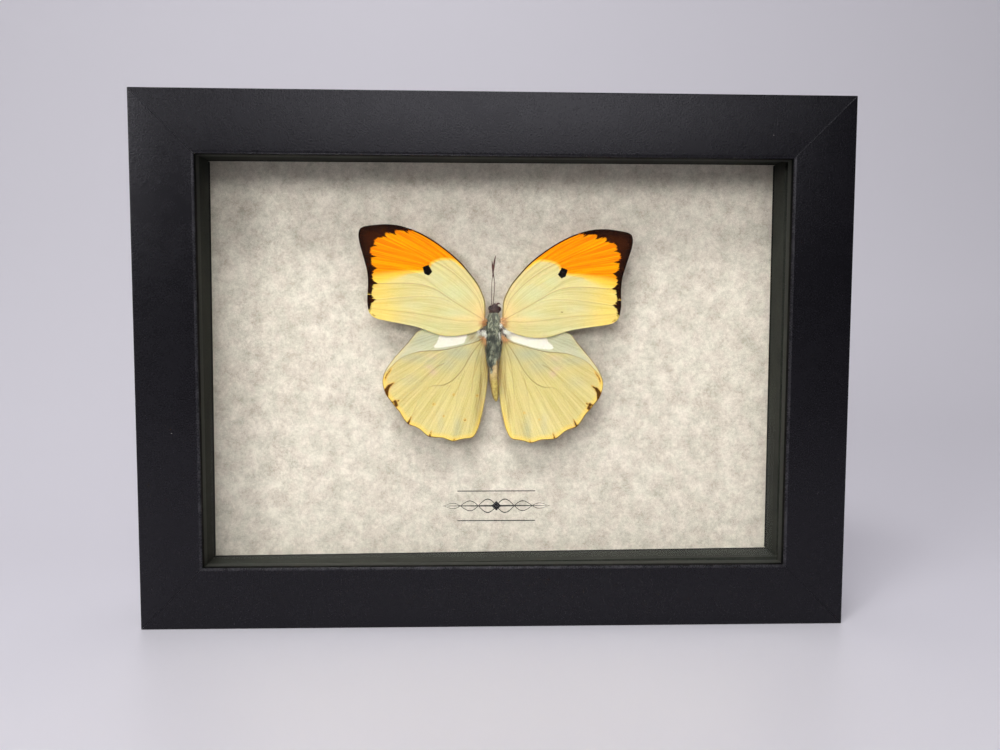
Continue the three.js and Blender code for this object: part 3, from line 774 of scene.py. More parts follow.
def forewing_markings(plan, side, f, t, curves, veins):
    edge = smooth_line(FORE_MARGIN, RIM_SAMPLES)
    margin = distance_to_line(plan, edge)
    border = np.vstack([scalloped_line(SCALLOPS, BORDER_END), BEYOND_MARGIN])
    spikes = 0.6 * veins**4 * smoothstep(-margin, -6.5, -4.5)
    dark = np.maximum(depth_inside(plan, border) + spikes, depth_inside(plan, np.array(SPOT)) + 0.12)
    dark = np.maximum(dark, depth_in_strokes(plan, FORE_SPECKS))
    softness = 0.5 + 1.5 * smoothstep(plan[:, 0], 21, 36) * smoothstep(-plan[:, 1], -29, -25)
    marks = {
        "rim": distance_to_line(plan, np.vstack([curves[0], edge])),
        "margin": margin,
        "green": soft_spots(plan, FORE_GREEN),
        "warm": soft_spots(plan, FORE_WARM),
        "dark": np.minimum(dark, -depth_in_strokes(plan, CHIP)),
        "orange": depth_inside(plan, smooth_line(ORANGE, 400)) / softness,
        "dirt": depth_in_strokes(plan, DIRT[side]),
    }
    return marks, np.column_stack([f * 4, t * 40])


forewings = [
    build_wing("forewing", side, FORE_LINES, FORE_MARGIN, 120, forewing_bend, forewing_markings)
    for side in ("left", "right")
]
print("forewing faces:", len(forewings[0].data.polygons))

# %% Hindwing veins
HIND_MARGIN = [
    (25.6, 4.4), (27.2, 2.6), (28.7, 0.8), (30, -1), (31.2, -2.9), (31.9, -4.6), (32.2, -6.4), (32, -8),
    (31.5, -9.6), (30.8, -11), (29.6, -12.4), (28.2, -14.2), (26.9, -15.6), (25.9, -17.2), (24.9, -18.5),
    (24, -19.3), (22, -20), (20.6, -20.7), (19.2, -21.9), (18, -22.7), (16, -23), (13.6, -23.1), (12, -23.7),
    (10.4, -24), (8.6, -23.5), (7, -23.2), (5.6, -23), (4.6, -22.6), (3.8, -21.6),
]
HIND_LINES = [
    ([(2.25, 7.4), (4.4, 9), (8.4, 10), (13.4, 10.4), (18.4, 9.9), (22.2, 8.5), (24, 6.4),
      (25.6, 4.4)], 0, 0),
    ([(2.2, 7.3), (4.2, 6.2), (8, 4.9), (14.4, 3.3), (20, 2.8), (23.5, 2), (27, 0.4), (29.5, -2),
      (31.9, -4.8)], 0, 0.7),
    ([(2.2, 7.2), (4.2, 6), (8, 4.6), (12, 3.5), (14.6, 2.8), (17, 1.2), (20, -1.1), (24, -4.2), (28.9, -7),
      (31.9, -8.3)], 0.42, 0.35),
    ([(2.2, 7.1), (4.2, 5), (7, 2.8), (10.5, 0.8), (13, -0.3), (15.4, -1.4), (17, -2.6), (18.5, -4),
      (20, -5.5), (24, -9.4), (28.4, -13.9)], 0.42, 0.8),
    ([(2.2, 7.05), (3.3, 5.9), (6.2, 1.6), (8.2, -2), (10, -4.4), (12, -6.2), (14.4, -7.3), (17.6, -7.6),
      (20, -10), (22.4, -14.5), (24.4, -19)], 0, 1),
    ([(2.2, 7), (3.2, 5.7), (6, 1.2), (8, -2.4), (9.8, -4.8), (11.7, -6.8), (13.8, -10), (15.8, -15),
      (17.9, -22.7)], 0.5, 0.45),
    ([(2.2, 6.9), (3.1, 5.5), (5.7, 1), (7.6, -2.6), (8.9, -6), (9.9, -11), (10.5, -17),
      (10.6, -24)], 0.34, 0.45),
    ([(2.2, 6.8), (2.9, 5.2), (4.4, 0.5), (5.2, -5), (5.7, -12), (5.9, -18), (5.7, -23)], 0, 0.55),
    ([(2.15, 6.7), (2.5, 4.5), (2.9, 0), (2.9, -5), (3.2, -11), (3.8, -17), (4.4, -22.3)], 0, 0.4),
    ([(2.1, 6.5), (2, 5), (1.55, 2), (0.95, -1.5), (0.7, -5), (0.9, -8), (1.35, -11.5), (1.85, -14.6),
      (2.4, -17.2), (3, -19.6), (3.8, -21.6)], 0, 0),
]

# %% Hindwing markings
STREAK_FOCUS = (-0.5, 14)
STREAK_TURN = 24  # how many streak widths there are to a radian round the focus
HIND_MARKS = [
    (29.8, -2.9, 30.6, -4.2, 0.08, 0.14), (30.6, -3.9, 31.4, -5.6, 0.1, 0.16),
    (31.2, -5.2, 31.5, -6.2, 0.12, 0.06), (28.8, -7, 30.2, -7.9, 0.05, 0.4),
    (30.2, -7.9, 30.95, -9.2, 0.45, 0.62), (30.95, -9.2, 30.6, -11.1, 0.62, 0.25),
    (28.3, -12.5, 27.9, -13.6, 0.4, 0.5), (27.3, -12.3, 29.6, -12.9, 0.16, 0.26),
    (27.4, -13.9, 28.2, -13.2, 0.12, 0.3), (23.4, -17.1, 23.8, -18.1, 0.08, 0.2),
    (23.8, -18.1, 24.4, -19.2, 0.22, 0.4), (17.2, -21.1, 17.7, -22.7, 0.06, 0.26),
    (10.2, -23.2, 10.5, -23.9, 0.05, 0.15),
]
HIND_SPECKS = {
    "right": [
        (13.2, -17, 13.3, -17.1, 0.15, 0.15), (8.6, -15, 8.7, -15.1, 0.1, 0.12),
    ],
    "left": [
        (16.6, -13, 16.8, -13.1, 0.2, 0.2), (10.8, -10, 10.9, -10.1, 0.16, 0.14),
        (7.2, -17.5, 7.3, -17.6, 0.2, 0.2), (13.6, -16.5, 13.7, -16.6, 0.12, 0.12),
        (3.8, -10.2, 3.9, -10.3, 0.15, 0.1),
    ],
}
WHITE_PATCH = {
    "right": [
        (2.8, 7.9), (4.2, 6.7), (8, 5.4), (12, 4.3), (16.4, 3.9), (17.2, 4.8), (15.6, 6.2), (14.4, 8.4),
        (8, 10), (3.4, 9.2),
    ],
    "left": [
        (8.2, 5.5), (12, 4.5), (17, 3.9), (16.2, 5.6), (14.9, 8.4), (10, 9.4), (7.4, 8.4),
    ],
}
HIND_GREEN = [
    (10, 2.6, 5.5, 2.8, 1), (13, -0.8, 4, 2.6, 0.7), (21, 6, 6, 2.5, 0.9), (23, 0.6, 5, 1.6, 0.8),
    (24, -6, 3, 2, 0.5), (18, 0, 2.6, 2, 0.6), (9.5, -20, 1.2, 4, 0.7), (14.5, -19, 1, 4, 0.5),
]
HIND_PINK = [(17.2, -3.4, 1.1, 1, 1), (18.4, -1.9, 1.2, 0.6, 0.8), (17.5, 1.4, 2.2, 0.9, 0.5)]
# Tan spots; those beside the abdomen are partly the wing's own colour, partly painted shade where the inner
# edge folds down
HIND_TAN_AND_SHADE = [
    (1.2, -3.5, 0.9, 7, 1), (2.8, -8, 0.6, 7, 0.7), (5.5, 7.2, 1.6, 1.4, 0.8), (3.9, -14, 0.5, 6, 0.5),
]


def hindwing_bend(plan):
    """The hindwing lies under the forewing and curls up to the viewer below; its inner edge folds down along
    the abdomen."""
    out = plan[:, 0] - BODY_AXIS
    fold = smoothstep(6 - out, 0, 4.5) * smoothstep(6 - plan[:, 1], 0, 8)
    curl = 0.0026 * np.maximum(2 - plan[:, 1], 0) ** 2
    return -0.75 + 0.03 * out + curl - 1.5 * fold


def hindwing_markings(plan, side, f, t, curves, veins):
    """The streaks fan out straight from a focus: the first axis of the UV map is the angle round it, and the
    second is the distance from it."""
    rim = np.vstack([curves[0], smooth_line(HIND_MARGIN, RIM_SAMPLES), curves[-1][::-1]])
    white = WHITE_PATCH[side]
    marks = {
        "rim": distance_to_line(plan, rim),
        "dark": depth_in_strokes(plan, HIND_MARKS + HIND_SPECKS[side]),
        "white": depth_inside(plan, smooth_line(white + white[:1], 120)),
        "fold": np.where(f < 1, 1, -1) * distance_to_line(plan, curves[1]),
        "green": soft_spots(plan, HIND_GREEN),
        "pink": soft_spots(plan, HIND_PINK),
        "tan_and_shade": soft_spots(plan, HIND_TAN_AND_SHADE),
    }
    fan = plan - STREAK_FOCUS
    angle = np.arctan2(fan[:, 0], -fan[:, 1])
    return marks, np.column_stack([angle * STREAK_TURN, np.linalg.norm(fan, axis=1)])


hindwings = [
    build_wing("hindwing", side, HIND_LINES, HIND_MARGIN, 110, hindwing_bend, hindwing_markings)
    for side in ("left", "right")
]
print("hindwing faces:", len(hindwings[0].data.polygons))

# %% [markdown]
# ## Scales on the wings
# The colour of a butterfly's wing is a powder of tiny scales. Both wings share a group for it: a grain much
# finer than a millimetre, and streaks drawn on the wing's own UV map. On a forewing the map's first axis
# counts the veins and its second runs from the root to the rim; on a hindwing the streaks fan out from a
# focus. A little light goes into the film and comes out again near by, which the subsurface values stand for.

# %% The scales group and the two wing finishes
def scales_recipe(tree, source):
    flow = add_node(tree, "ShaderNodeUVMap", uv_map="UVMap")["UV"]

    def streaks(across, along):
        inputs = {"Vector": flow, "Scale": (across, along, 1)}
        stretched = add_node(tree, "ShaderNodeMapping", inputs)["Vector"]
        inputs = {"Vector": stretched, "Scale": 1, "Detail": 3}
        return add_node(tree, "ShaderNodeTexNoise", inputs)["Fac"]

    both = rescale(streaks(1.1, 0.045) * 0.45 + streaks(4.5, 0.07) * 0.55, 0.37, 0.63)
    grains = {"Vector": source["Place"], "Scale": 4200, "Detail": 2}
    return {"Streaks": both * source["Streak"], "Powder": add_node(tree, "ShaderNodeTexNoise", grains)["Fac"]}


scales = new_group("Wing scales", {"Streak": 1}, scales_recipe)


def edge_of(depth, powder, softness=0.07, ragged=0.3):
    """1 inside an outline; the powder makes its edge uneven, as rows of scales do."""
    return rescale(depth + (powder - 0.5) * ragged, -softness, softness, smooth=True)


def powdered(colour, powder):
    """Single scales catch the light: where the powder is low the colour is a little darker, where it is high
    lighter."""
    colour = mix(rescale(powder, 0.3, 0.5, 0.16, 0), colour, (150, 110, 50), blend="MULTIPLY")
    return mix(rescale(powder, 0.55, 0.75, 0, 0.25), colour, (255, 250, 230), blend="SOFT_LIGHT")


def wing_finish(name):
    """The finish, its streaks and powder, and how dark a vein is: steep near its line, stronger for a
    stronger vein."""
    finish = Finish(
        name,
        Roughness=0.7,
        Specular_IOR_Level=0.04,
        Subsurface_Weight=0.35,
        Subsurface_Scale=0.0004,
        Subsurface_Radius=(1, 0.5, 0.15),
    )
    powdery = finish.use(scales, Streak=1)
    vein = finish.carried("vein") ** 4.5 * finish.carried("vein_strength")
    return finish, powdery["Streaks"], powdery["Powder"], vein


finish, streaks, powder, vein = wing_finish("forewing_scales")
margin, along, rim = [finish.carried(name) for name in ("margin", "along", "rim")]
cream = painted(
    mix(streaks, (194, 178, 114), (216, 202, 148)),
    (finish.carried("green"), mix(streaks, (190, 188, 138), (209, 206, 160))),
    (rescale(margin, 13, 2, 0, 0.9, smooth=True), mix(streaks, (220, 186, 88), (234, 206, 116))),
    (finish.carried("warm") * 0.7, (238, 202, 140)),
)
warmth = finish.carried("orange") + (streaks - 0.5) * 0.5
colour = painted(
    cream,
    (rescale(warmth, -2, -0.5, smooth=True), mix(streaks, (232, 174, 44), (240, 196, 84))),
    (rescale(warmth, -0.6, 0.6, smooth=True), mix(streaks, (218, 100, 0), (248, 164, 0))),
    (vein * 0.75, mix(rescale(warmth, -1, 0), (160, 128, 84), (214, 92, 0))),
    (rescale(along, 0, 0.08, 0.4, 0), (190, 140, 90)),
    (edge_of(finish.carried("dirt"), powder) * 0.7, (112, 98, 56)),
)
brown = painted(
    mix(rescale(rim, 0.4, 2.4), (12, 3, 1), (44, 15, 1)),
    (rescale(powder, 0.56, 0.78), (92, 48, 14)),
    (rescale(margin, 5, 7), (12, 7, 8)),
)
feathered = finish.carried("dark") + (streaks - 0.5) * rescale(margin, 7, 5, 0, 0.8)
costal = rescale(rim, 0.3, 0.5, 1, 0) * rescale(along, 0.02, 0.3, 0.7, 1) * rescale(margin, 0.3, 1.2)
colour = painted(
    powdered(colour, powder),
    (edge_of(feathered, powder, ragged=0.5), brown),
    (costal, mix(rescale(along, 0.25, 0.5), (112, 98, 56), (30, 10, 5))),
)
finish.dress(forewings, powder, 0.02, Base_Color=colour)

finish, streaks, powder, vein = wing_finish("hindwing_scales")
fold, along, rim, marks = [finish.carried(name) for name in ("fold", "along", "rim", "dark")]
# ochre tan, partly painted shade beside the abdomen where the wing folds down
ochre_and_shade = finish.carried("tan_and_shade") * rescale(streaks, 0, 0.8, 1, 0.45)
golden = rescale(rim, 1.8, 0.3) * rescale(along, 0.55, 0.9) * rescale(fold, -1, 0.5, 0.8, 0.2)
colour = painted(
    mix(streaks, (186, 170, 107), (211, 195, 136)),
    (rescale(fold, -0.1, 0.2, smooth=True), mix(streaks, (180, 177, 144), (200, 196, 164))),
    (rescale(abs(fold), 0.06, 0.22, 0.5, 0), (128, 110, 80)),
    (finish.carried("green") * 0.8, mix(streaks, (158, 158, 132), (182, 181, 152))),
    (finish.carried("pink") * 0.55, (206, 172, 156)),
    (ochre_and_shade, (140, 108, 54)),
    (golden, (232, 196, 92)),
    (edge_of(finish.carried("white"), powder, softness=0.2), (228, 219, 204)),
    (rescale(along, 0, 0.06, 0.4, 0), (176, 132, 84)),
    (vein * rescale(along, 0.48, 0.68, 0.78, 0.1), (120, 98, 60)),
)
colour = painted(
    powdered(colour, powder),
    (rescale(marks, -0.5, 0, 0, 0.5, smooth=True), (214, 158, 50)),
    (edge_of(marks, powder, softness=0.1, ragged=0.7), mix(powder, (48, 24, 4), (104, 66, 20))),
    (rescale(rim, 0.08, 0.26, 1, 0) * rescale(along, 0.35, 0.85, 0.25, 0.8), (104, 70, 26)),
)
finish.dress(hindwings, powder, 0.02, Base_Color=colour)

# %% [markdown]
# ## The body
# The body is one skin carried down a row of stations, each an ellipse with its own middle and half widths.
# The abdomen has eight rings, and each bulges a little between its ends. Eyes, palps, antennae and legs are
# round tubes and balls on it. All heights are from the middle of the opening, and depths from the body's own
# depth.

# %% Body skin, eyes, palps, antennae and legs
BODY_DEPTH = WING_DEPTH + 0.8
STATIONS = [  # height, middle x, behind the body's depth, half width, half thickness
    (-11.9, 0.2, 0.1, 0.02, 0.02), (-11.4, 0.15, 0.1, 0.45, 0.45), (-10.4, 0.05, 0.1, 0.85, 0.8),
    (-8, -0.2, 0.1, 1.15, 1.15), (-5, -0.45, 0.05, 1.35, 1.4), (-2, -0.6, 0, 1.45, 1.5),
    (1, -0.7, 0, 1.5, 1.55), (3.2, -0.7, 0, 1.55, 1.6), (5, -0.7, -0.1, 1.75, 1.9),
    (7.5, -0.7, -0.2, 1.95, 2.2), (10, -0.7, -0.2, 2, 2.3), (12.5, -0.7, -0.1, 1.9, 2.1),
    (14.2, -0.6, 0, 1.5, 1.5), (14.9, -0.5, 0, 1.2, 1.2), (15.6, -0.4, -0.1, 1.4, 1.3),
    (16.4, -0.35, -0.1, 1.35, 1.2), (17.1, -0.3, -0.1, 0.8, 0.75), (17.4, -0.3, -0.1, 0.02, 0.02),
]
SEGMENTS = np.array([-11.6, -9.9, -8.3, -6.5, -4.6, -2.6, -0.5, 1.6, 3.6])
EYES = [(-1.4, -0.2, 16.05), (0.82, -0.2, 15.8)]
EYE_RADIUS = 0.86
PALPS = [
    [
        (-0.45, -0.2, 16.8), (-0.3, -0.35, 17.3), (-0.05, -0.45, 17.65),
    ],
    [
        (0.15, -0.2, 16.8), (0.5, -0.35, 17.4), (1.05, -0.4, 17.5), (1.45, -0.35, 17.05),
    ],
]
ANTENNAE = [
    [
        (-0.95, -0.4, 16.6), (-1.28, -0.9, 17.9), (-1.26, -1.5, 21), (-1.15, -1.9, 24.2), (-0.75, -2.1, 27.2),
        (-0.5, -2.2, 29.6), (-0.1, -2.2, 31.4),
    ],
    [
        (-0.5, -0.5, 16.6), (-0.7, -0.8, 17.9), (-0.42, -1, 21.4), (-0.45, -1.1, 24), (-0.85, -1.2, 26.6),
        (-1, -1.2, 28.4), (-1.15, -1.2, 30),
    ],
]
LEG_HIPS = (12, 9.6, 7.2)
PALP_RADII = (0.3, 0.3, 0.26, 0.16, 0.03)  # each list is spread evenly along its tube
ANTENNA_RADII = (0.12, 0.1, 0.09, 0.09, 0.09, 0.1, 0.16, 0.24, 0.25, 0.08)
LEG_RADII = (0.26, 0.22, 0.2, 0.15, 0.12, 0.08)


def body_station(heights):
    """Middle x, depth, half width and half thickness at each height, read off a smooth line through the
    stations."""
    spine = smooth_line(STATIONS, 600)
    return [np.interp(heights, spine[:, 0], column) for column in spine.T[1:]]


def on_body(points):
    """From x, depth behind the body's depth and height to x, y, z."""
    return np.asarray(points, float) + (0, BODY_DEPTH, MIDDLE)


def ring_bulge(heights):
    """1.05 in the middle of each ring of the abdomen and 1 at its ends, by the root of a half wave."""
    share = np.interp(heights, SEGMENTS, np.arange(len(SEGMENTS)))
    return 1 + 0.05 * np.sqrt(np.abs(np.sin(math.pi * share)))


def body_skin(rows=230, columns=48):
    """The skin, with a few more rows at its rounded ends. Each point tells its height, how far round to the
    side it is, and how much its ring bulges there."""
    heights = np.sort(np.r_[np.linspace(-11.9, 17.4, rows), -11.88, -11.82, 17.36, 17.39])[:, None]
    angle = np.linspace(0, 2 * math.pi, columns, endpoint=False)
    x, back, wide, thick = body_station(heights)
    bulge = ring_bulge(heights)
    across = x + wide * bulge * np.cos(angle)
    depth = back + thick * bulge * np.sin(angle)
    points = np.stack([across, depth, np.broadcast_to(heights, across.shape)], -1).reshape(-1, 3)
    fields = {
        "height": points[:, 2],
        "sideways": np.tile(np.cos(angle), len(heights)),
        "ring": np.repeat(bulge[:, 0], columns),
    }
    faces = closed_faces(len(heights), columns, ends_face_in=True)
    return make_piece("insect_skin", on_body(points), faces, fields)


def tube(path, radii, samples, sides=10):
    """A round tube along a smooth line. At each sample two directions square to the line carry the ring."""
    line = smooth_line(path, samples)
    heading = unit(np.gradient(line, axis=0))
    across = unit(np.cross(heading, (0.31, 0.93, 0.17)))
    upright = np.cross(heading, across)
    radius = np.interp(np.linspace(0, 1, samples), np.linspace(0, 1, len(radii)), radii)[:, None, None]
    angle = np.linspace(0, 2 * math.pi, sides, endpoint=False)[None, :, None]
    rings = line[:, None] + radius * (across[:, None] * np.cos(angle) + upright[:, None] * np.sin(angle))
    return rings.reshape(-1, 3), closed_faces(samples, sides)


def ball(centre, radius, rows=18, columns=28):
    """A ball as rings round an upright axis."""
    tilt = np.linspace(0.02, math.pi - 0.02, rows)[:, None]
    turn = np.linspace(0, 2 * math.pi, columns, endpoint=False)
    across = np.sin(tilt) * np.cos(turn)
    outward = np.stack([across, np.sin(tilt) * np.sin(turn), np.broadcast_to(np.cos(tilt), across.shape)], -1)
    return np.array(centre) + radius * outward.reshape(-1, 3), closed_faces(rows, columns)


def joined(shapes):
    """Several shapes as one list of points and one list of faces."""
    points, faces = [], []
    for shape_points, shape_faces in shapes:
        start = sum(map(len, points))
        points.append(shape_points)
        faces += [[start + corner for corner in face] for face in shape_faces]
    return np.vstack(points), faces


def leg(hip, row, side):
    """Out beside the thorax, then back along under it."""
    knee = 1.9 + 0.25 * row
    return [
        (BODY_AXIS + side * 0.7, 1.5, hip),
        (BODY_AXIS + side * knee, 2.75, hip - 1.2),
        (BODY_AXIS + side * (knee - 0.7), 3.1, hip - 3.4),
        (BODY_AXIS + side * 0.75, 3.2, hip - 5.8),
    ]


skin = body_skin()
body_pieces = [skin]
legs = [leg(hip, row, side) for row, hip in enumerate(LEG_HIPS) for side in (-1, 1)]
for name, shapes in [
    ("insect_eyes", [ball(centre, EYE_RADIUS) for centre in EYES]),
    ("insect_palps", [tube(path, PALP_RADII, 16) for path in PALPS]),
    ("insect_antennae", [tube(path, ANTENNA_RADII, 110) for path in ANTENNAE]),
    ("insect_legs", [tube(path, LEG_RADII, 40) for path in legs]),
]:
    points, faces = joined(shapes)
    body_pieces.append(make_piece(name, on_body(points), faces))

# %% [markdown]
# ## Hair
# The thorax is covered in hair that lies back towards the tail, and longer tufts cover the wing roots. Each
# hair is a thin three-sided cone with a bend in its middle. Hairs stand in locks: every hair leans with its
# tip towards the tip of the nearest lock's leading hair, which leaves bright strands with dark gaps between
# them.

# %% Hair
random = np.random.default_rng(7)
HAIR_BEND = 0.35
BROWN, WHITE, DARK = 1, 2, 3  # the kinds of tufts; the thorax's own hair is 0
BROWN_COUNT, BROWN_LENGTH = 0.8, 1.45  # brown tufts have fewer and longer hairs than their rows say
TUFTS = [  # x, behind the body's depth, height; the way out; how many; length; kind
    ((-2.6, -1.3, 12.3), (-0.9, -0.1, 0.1), 40, 1.6, BROWN),
    ((-2.8, -1.3, 11.4), (-0.9, -0.1, -0.2), 45, 1.7, BROWN),
    ((-3.3, -1.1, 7.4), (-0.6, -0.1, -0.3), 60, 1.3, BROWN),
    ((-3.2, -1.1, 6.9), (0, -0.1, -1), 40, 1.8, BROWN),
    ((-4.6, -1.2, 9.4), (-0.2, -0.1, -0.9), 60, 1.5, WHITE),
    ((-3.6, -1.25, 9.3), (-0.1, -0.2, -0.9), 50, 1.5, WHITE),
    ((-2.7, -1.3, 8.8), (-0.1, -0.2, -0.9), 40, 1.6, WHITE),
    ((-4.1, -1.3, 9.8), (-0.2, -0.2, -0.9), 14, 1.5, DARK),
    ((1.5, -1.3, 12.6), (0.9, -0.1, 0.15), 40, 1.7, BROWN),
    ((1.6, -1.3, 11.6), (0.9, -0.1, -0.1), 45, 1.8, BROWN),
    ((1.3, -1.5, 11.3), (0.3, -0.2, -0.9), 36, 1.2, WHITE),
    ((1.6, -1.4, 10.6), (0.2, -0.2, -0.9), 16, 1.3, DARK),
    ((2.6, -1.2, 9.4), (0.6, -0.1, -0.6), 70, 1.7, WHITE),
    ((3.4, -1.2, 9), (0.7, -0.1, -0.5), 40, 1.5, WHITE),
    ((1.9, -1.2, 7.6), (0.5, -0.1, -0.8), 60, 1.7, BROWN),
    ((2.6, -1.1, 7.2), (0.6, -0.1, -0.7), 40, 1.6, BROWN),
    ((2.4, -1.2, 8.6), (0.5, -0.2, -0.8), 16, 1.4, DARK),
    ((0.9, -1.9, 8.8), (-0.25, -0.1, -0.9), 30, 2.6, WHITE),
]
DARK_HAIR = [
    (-0.65, 13.4, 0.4, 1.6, 1), (-1.1, 9.6, 0.8, 0.45, 1), (-0.9, 7.6, 0.9, 0.8, 1),
    (-1.35, 0.2, 0.5, 1.3, 0.7), (-1.9, 4.2, 0.5, 1.4, 0.6), (0.2, 4.6, 0.4, 1, 0.7), (1.2, 12, 0.3, 2, 0.9),
    (-2.5, 8.5, 0.3, 2, 0.8),
]


def cones(roots, mids, tips, widths):
    """Three-sided cones with a bend: a triangle round the root, a smaller one round the bend, and the tip."""
    heading = unit(mids - roots)
    across = unit(np.cross(heading, (0.4, 0.9, 0.2)))
    upright = np.cross(heading, across)
    corners = []
    for centre, share in ((roots, 1), (mids, 0.75)):
        for angle in (0, 2 * math.pi / 3, 4 * math.pi / 3):
            spoke = across * math.cos(angle) + upright * math.sin(angle)
            corners.append(centre + spoke * (widths * share)[:, None])
    points = np.stack([*corners, tips], axis=1)
    first = np.arange(len(roots))[:, None] * 7
    walls = [first + np.array(face) for face in ((0, 1, 4, 3), (1, 2, 5, 4), (2, 0, 3, 5))]
    caps = [first + np.array(face) for face in ((3, 4, 6), (4, 5, 6), (5, 3, 6), (2, 1, 0))]
    return points.reshape(-1, 3), [*np.vstack(walls).tolist(), *np.vstack(caps).tolist()]


def thorax_hair(count, low, high, length, locks):
    """Roots spread over the body between two heights, lying back towards the tail and bent in to the body."""
    heights = low + (high - low) * random.random(count)
    spread = np.interp(heights, [-1.2, 1.5, 4.5], [0.25, 0.9, 1.75])
    aside = np.interp(heights, [-1.2, 4.5], [-0.5, 0])
    angle = -math.pi / 2 + aside + spread * (2 * random.random(count) - 1)
    x, back, wide, thick = body_station(heights)
    roots = np.column_stack([x + 0.97 * wide * np.cos(angle), back + 0.97 * thick * np.sin(angle), heights])
    outward = unit(np.column_stack([np.cos(angle) / wide, np.sin(angle) / thick, np.zeros(count)]))
    lean = unit(0.34 * outward + (0, 0, -1) + 0.2 * random.normal(size=(count, 3)))
    reach = length * (0.7 + 0.6 * random.random(count))[:, None]
    mids = roots + lean * reach * 0.5
    tips = mids + (lean - HAIR_BEND * outward) * reach * 0.5
    leaders = random.integers(0, count, locks)
    nearest = np.argmin(np.linalg.norm(roots[:, None] - roots[leaders][None], axis=2), axis=1)
    lock = leaders[nearest]
    apart = np.abs(roots - roots[lock]).sum(1, keepdims=True)
    tips += 0.55 * (tips[lock] - tips) * np.clip(1 - apart / 1.6, 0, 1)
    shade = random.random(count)[lock] * 0.65 + random.random(count) * 0.35
    return roots, mids, tips, shade


def tuft_hair(place, way, count, length):
    """A spray of hairs from one spot, all leaning about one way."""
    roots = np.array(place) + random.normal(size=(count, 3)) * (0.28, 0.1, 0.28)
    lean = unit(np.array(way) + random.normal(size=(count, 3)) * (0.3, 0.1, 0.3))
    reach = length * (0.6 + 0.7 * random.random(count))[:, None]
    mids = roots + lean * reach * 0.5
    tips = mids + unit(lean + random.normal(size=(count, 3)) * 0.25 + (0, 0.15, -0.15)) * reach * 0.5
    return roots, mids, tips, random.random(count)


batches = [
    thorax_hair(3600, 4.5, 15, 1.35, 330),
    thorax_hair(1500, 0, 5, 1.5, 130),
    thorax_hair(300, 14.9, 16.2, 0.7, 60),
    thorax_hair(240, -2.6, 0.8, 1.1, 60),
]
kinds = [np.full(len(batch[0]), kind) for batch, kind in zip(batches, (0, 0, DARK, 0))]
for place, way, count, length, kind in TUFTS:
    if kind == BROWN:
        count, length = round(count * BROWN_COUNT), length * BROWN_LENGTH
    batches.append(tuft_hair(place, way, count, length))
    kinds.append(np.full(count, kind))
roots, mids, tips, shade = [np.concatenate(column) for column in zip(*batches)]
kinds = np.concatenate(kinds)
shade = np.where(kinds == 0, shade * (1 - 0.9 * soft_spots(roots[:, [0, 2]], DARK_HAIR)), shade)
widths = np.where((kinds == BROWN) | (kinds == WHITE), 0.022, 0.042) + 0.022 * random.random(len(roots))
hair_points, hair_faces = cones(roots, mids, tips, widths)
hair_fields = {"shade": np.repeat(shade, 7), "kind": np.repeat(kinds, 7)}
hair = make_piece("insect_hair", on_body(hair_points), hair_faces, hair_fields, smooth=False)
body_pieces.append(hair)
for piece in body_pieces:
    dress_node(piece, "butterfly_body")
print("hairs:", len(roots))

# %% Body finishes
finish = Finish("insect_skin", Roughness=0.6, Sheen_Weight=0.1)
height = finish.carried("height")
mottle = rescale(finish.noise(0.8, detail=4, roughness=0.7), 0.32, 0.68)
upper = mix(mottle, (168, 140, 92), (222, 192, 142))
lower = mix(mottle, (146, 122, 48), (206, 182, 100))
colour = painted(
    mix(rescale(height, -6, -2.5), lower, upper),
    # darker towards the sides: partly the abdomen's own brown, partly painted shade round its edges
    (rescale(abs(finish.carried("sideways")), 0.42, 0.92, 0, 0.85, smooth=True), (106, 74, 24)),
    (rescale(finish.carried("ring"), 1, 1.02, 0.5, 0), (110, 84, 44)),
    (rescale(height, 0.6, 4, smooth=True), (84, 82, 62)),
    (rescale(height, 14.8, 15.3), (44, 16, 12)),
)
finish.dress([skin], mottle, 0.06, Base_Color=colour)

finish = Finish("insect_hair", Roughness=0.55, Sheen_Weight=0.2)
shade, kind = finish.carried("shade"), finish.carried("kind")
colour = painted(
    mix(rescale(shade, 0, 0.45), (16, 18, 16), (78, 82, 66)),
    (rescale(shade, 0.45, 0.95), (198, 198, 166)),
    (rescale(kind, 0.4, 0.6), mix(shade, (150, 86, 38), (240, 186, 122))),
    (rescale(kind, 1.4, 1.6), mix(shade, (196, 190, 170), (252, 250, 240))),
    (rescale(kind, 2.4, 2.6), mix(shade, (24, 8, 8), (92, 56, 44))),
)
finish.dress([hair], Base_Color=colour)

finish = Finish("insect_chitin", Roughness=0.4)
facets = finish.noise(0.12, detail=1)
finish.dress(body_pieces[2:5], facets, 0.02, Base_Color=mix(facets, (38, 14, 14), (96, 44, 38)))

finish = Finish("insect_eyes", Roughness=0.18)
facets = finish.cells(9000)
finish.dress([body_pieces[1]], facets, 0.01, Base_Color=mix(facets, (22, 5, 6), (58, 20, 18)))
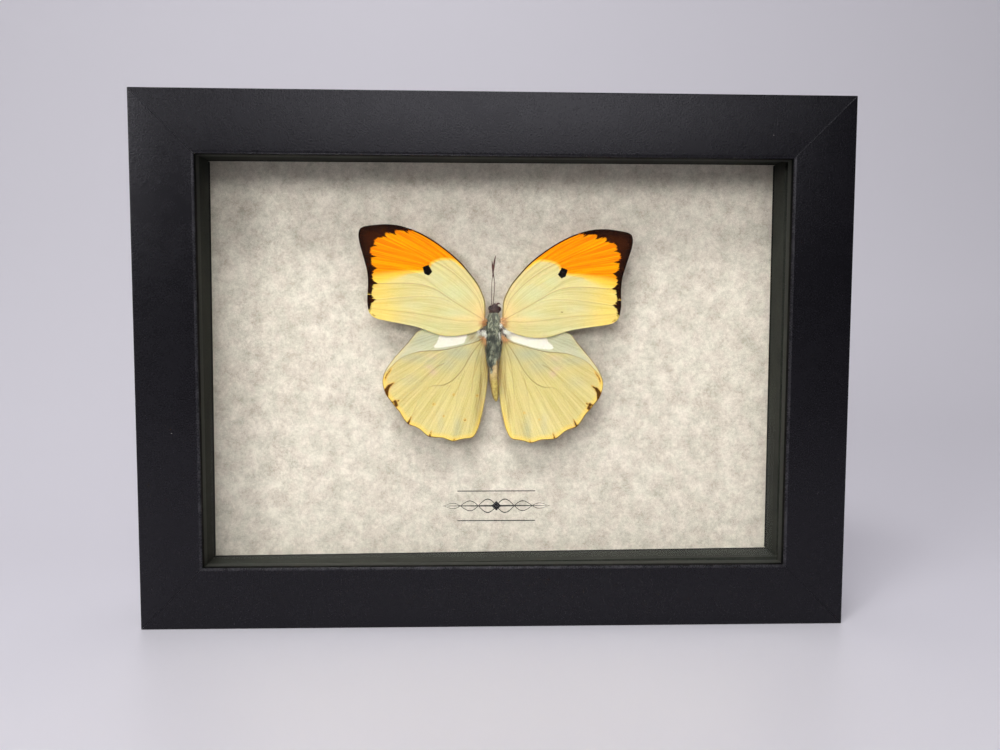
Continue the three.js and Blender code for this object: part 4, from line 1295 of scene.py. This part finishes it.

# %% [markdown]
# ## Floor, wall and light
# The frame stands on a pale, faintly glossy floor that sweeps up into a wall, and a painted shade darkens the
# floor towards the camera. Three large soft lamps light it: one high in front, one near the ceiling and one at
# the left, so the lip's shadow falls on the top and the left of the paper, and the wings' shadows fall down and
# to the right. The room gives the rest, a little more of it from above.

# %% Floor sweeping up into a wall
SWEEP_START = 60
SWEEP_RADIUS = 500
turn = np.linspace(0, math.pi / 2, 60)
arc_y = SWEEP_START + SWEEP_RADIUS * np.sin(turn)
arc_z = SWEEP_RADIUS * (1 - np.cos(turn))
curve_y = np.r_[-900, SWEEP_START - 10, arc_y, arc_y[-1], arc_y[-1]]
curve_z = np.r_[0, 0, arc_z, arc_z[-1] + 10, 1600]
sideways, along_y = np.meshgrid([-1600, 1600], curve_y)
points = np.stack([sideways, along_y, np.broadcast_to(curve_z[:, None], along_y.shape)], -1).reshape(-1, 3)
sweep = make_piece("pale_sweep", points, grid_faces(len(curve_y), 2))
finish = Finish("pale_lavender", Roughness=0.4)
# A painted shade: the floor turns dark between 300 and 700 mm in front of the frame, towards the camera
paint = mix(rescale(finish.millimetres("Y"), -700, -300, smooth=True), (58, 57, 60), (237, 234, 242))
finish.dress([sweep], Base_Color=paint)


# %% Lamps and the room
def add_lamp(name, place_mm, aim_mm, size_mm, watts):
    """A soft lamp at a place, turned to face a point."""
    data = bpy.data.lights.new(name, "AREA")
    data.shape = "RECTANGLE"
    data.size, data.size_y = np.array(size_mm) * MM
    data.energy = watts
    lamp = bpy.data.objects.new(name, data)
    away = np.array(place_mm, float) - aim_mm
    yaw = math.atan2(away[0], -away[1])
    tilt = math.atan2(math.hypot(away[0], away[1]), away[2])
    lamp.matrix_world = Matrix.Translation(np.array(place_mm) * MM) @ turned(yaw, "Z") @ turned(tilt, "X")
    bpy.context.collection.objects.link(lamp)


add_lamp("front", (20, -950, 480), (20, 0, 480), (620, 310), 2.65)
add_lamp("ceiling", (-100, -450, 856), (0, 0, MIDDLE), (360, 220), 3.9)
add_lamp("left", (-720, -780, 440), (0, 0, MIDDLE), (320, 350), 3.1)
world = bpy.data.worlds.new("room")
world.use_nodes = True
direction = add_node(world.node_tree, "ShaderNodeTexCoord")["Generated"]
upward = add_node(world.node_tree, "ShaderNodeSeparateXYZ", {"Vector": direction})["Z"]
room = world.node_tree.nodes["Background"]
room.inputs["Color"].default_value = (0.94, 0.94, 1, 1)
world.node_tree.links.new(rescale(upward, 0, 0.9, 0.11, 0.2).socket, room.inputs["Strength"])
bpy.context.scene.world = world
bpy.context.scene.view_settings.view_transform = "Standard"
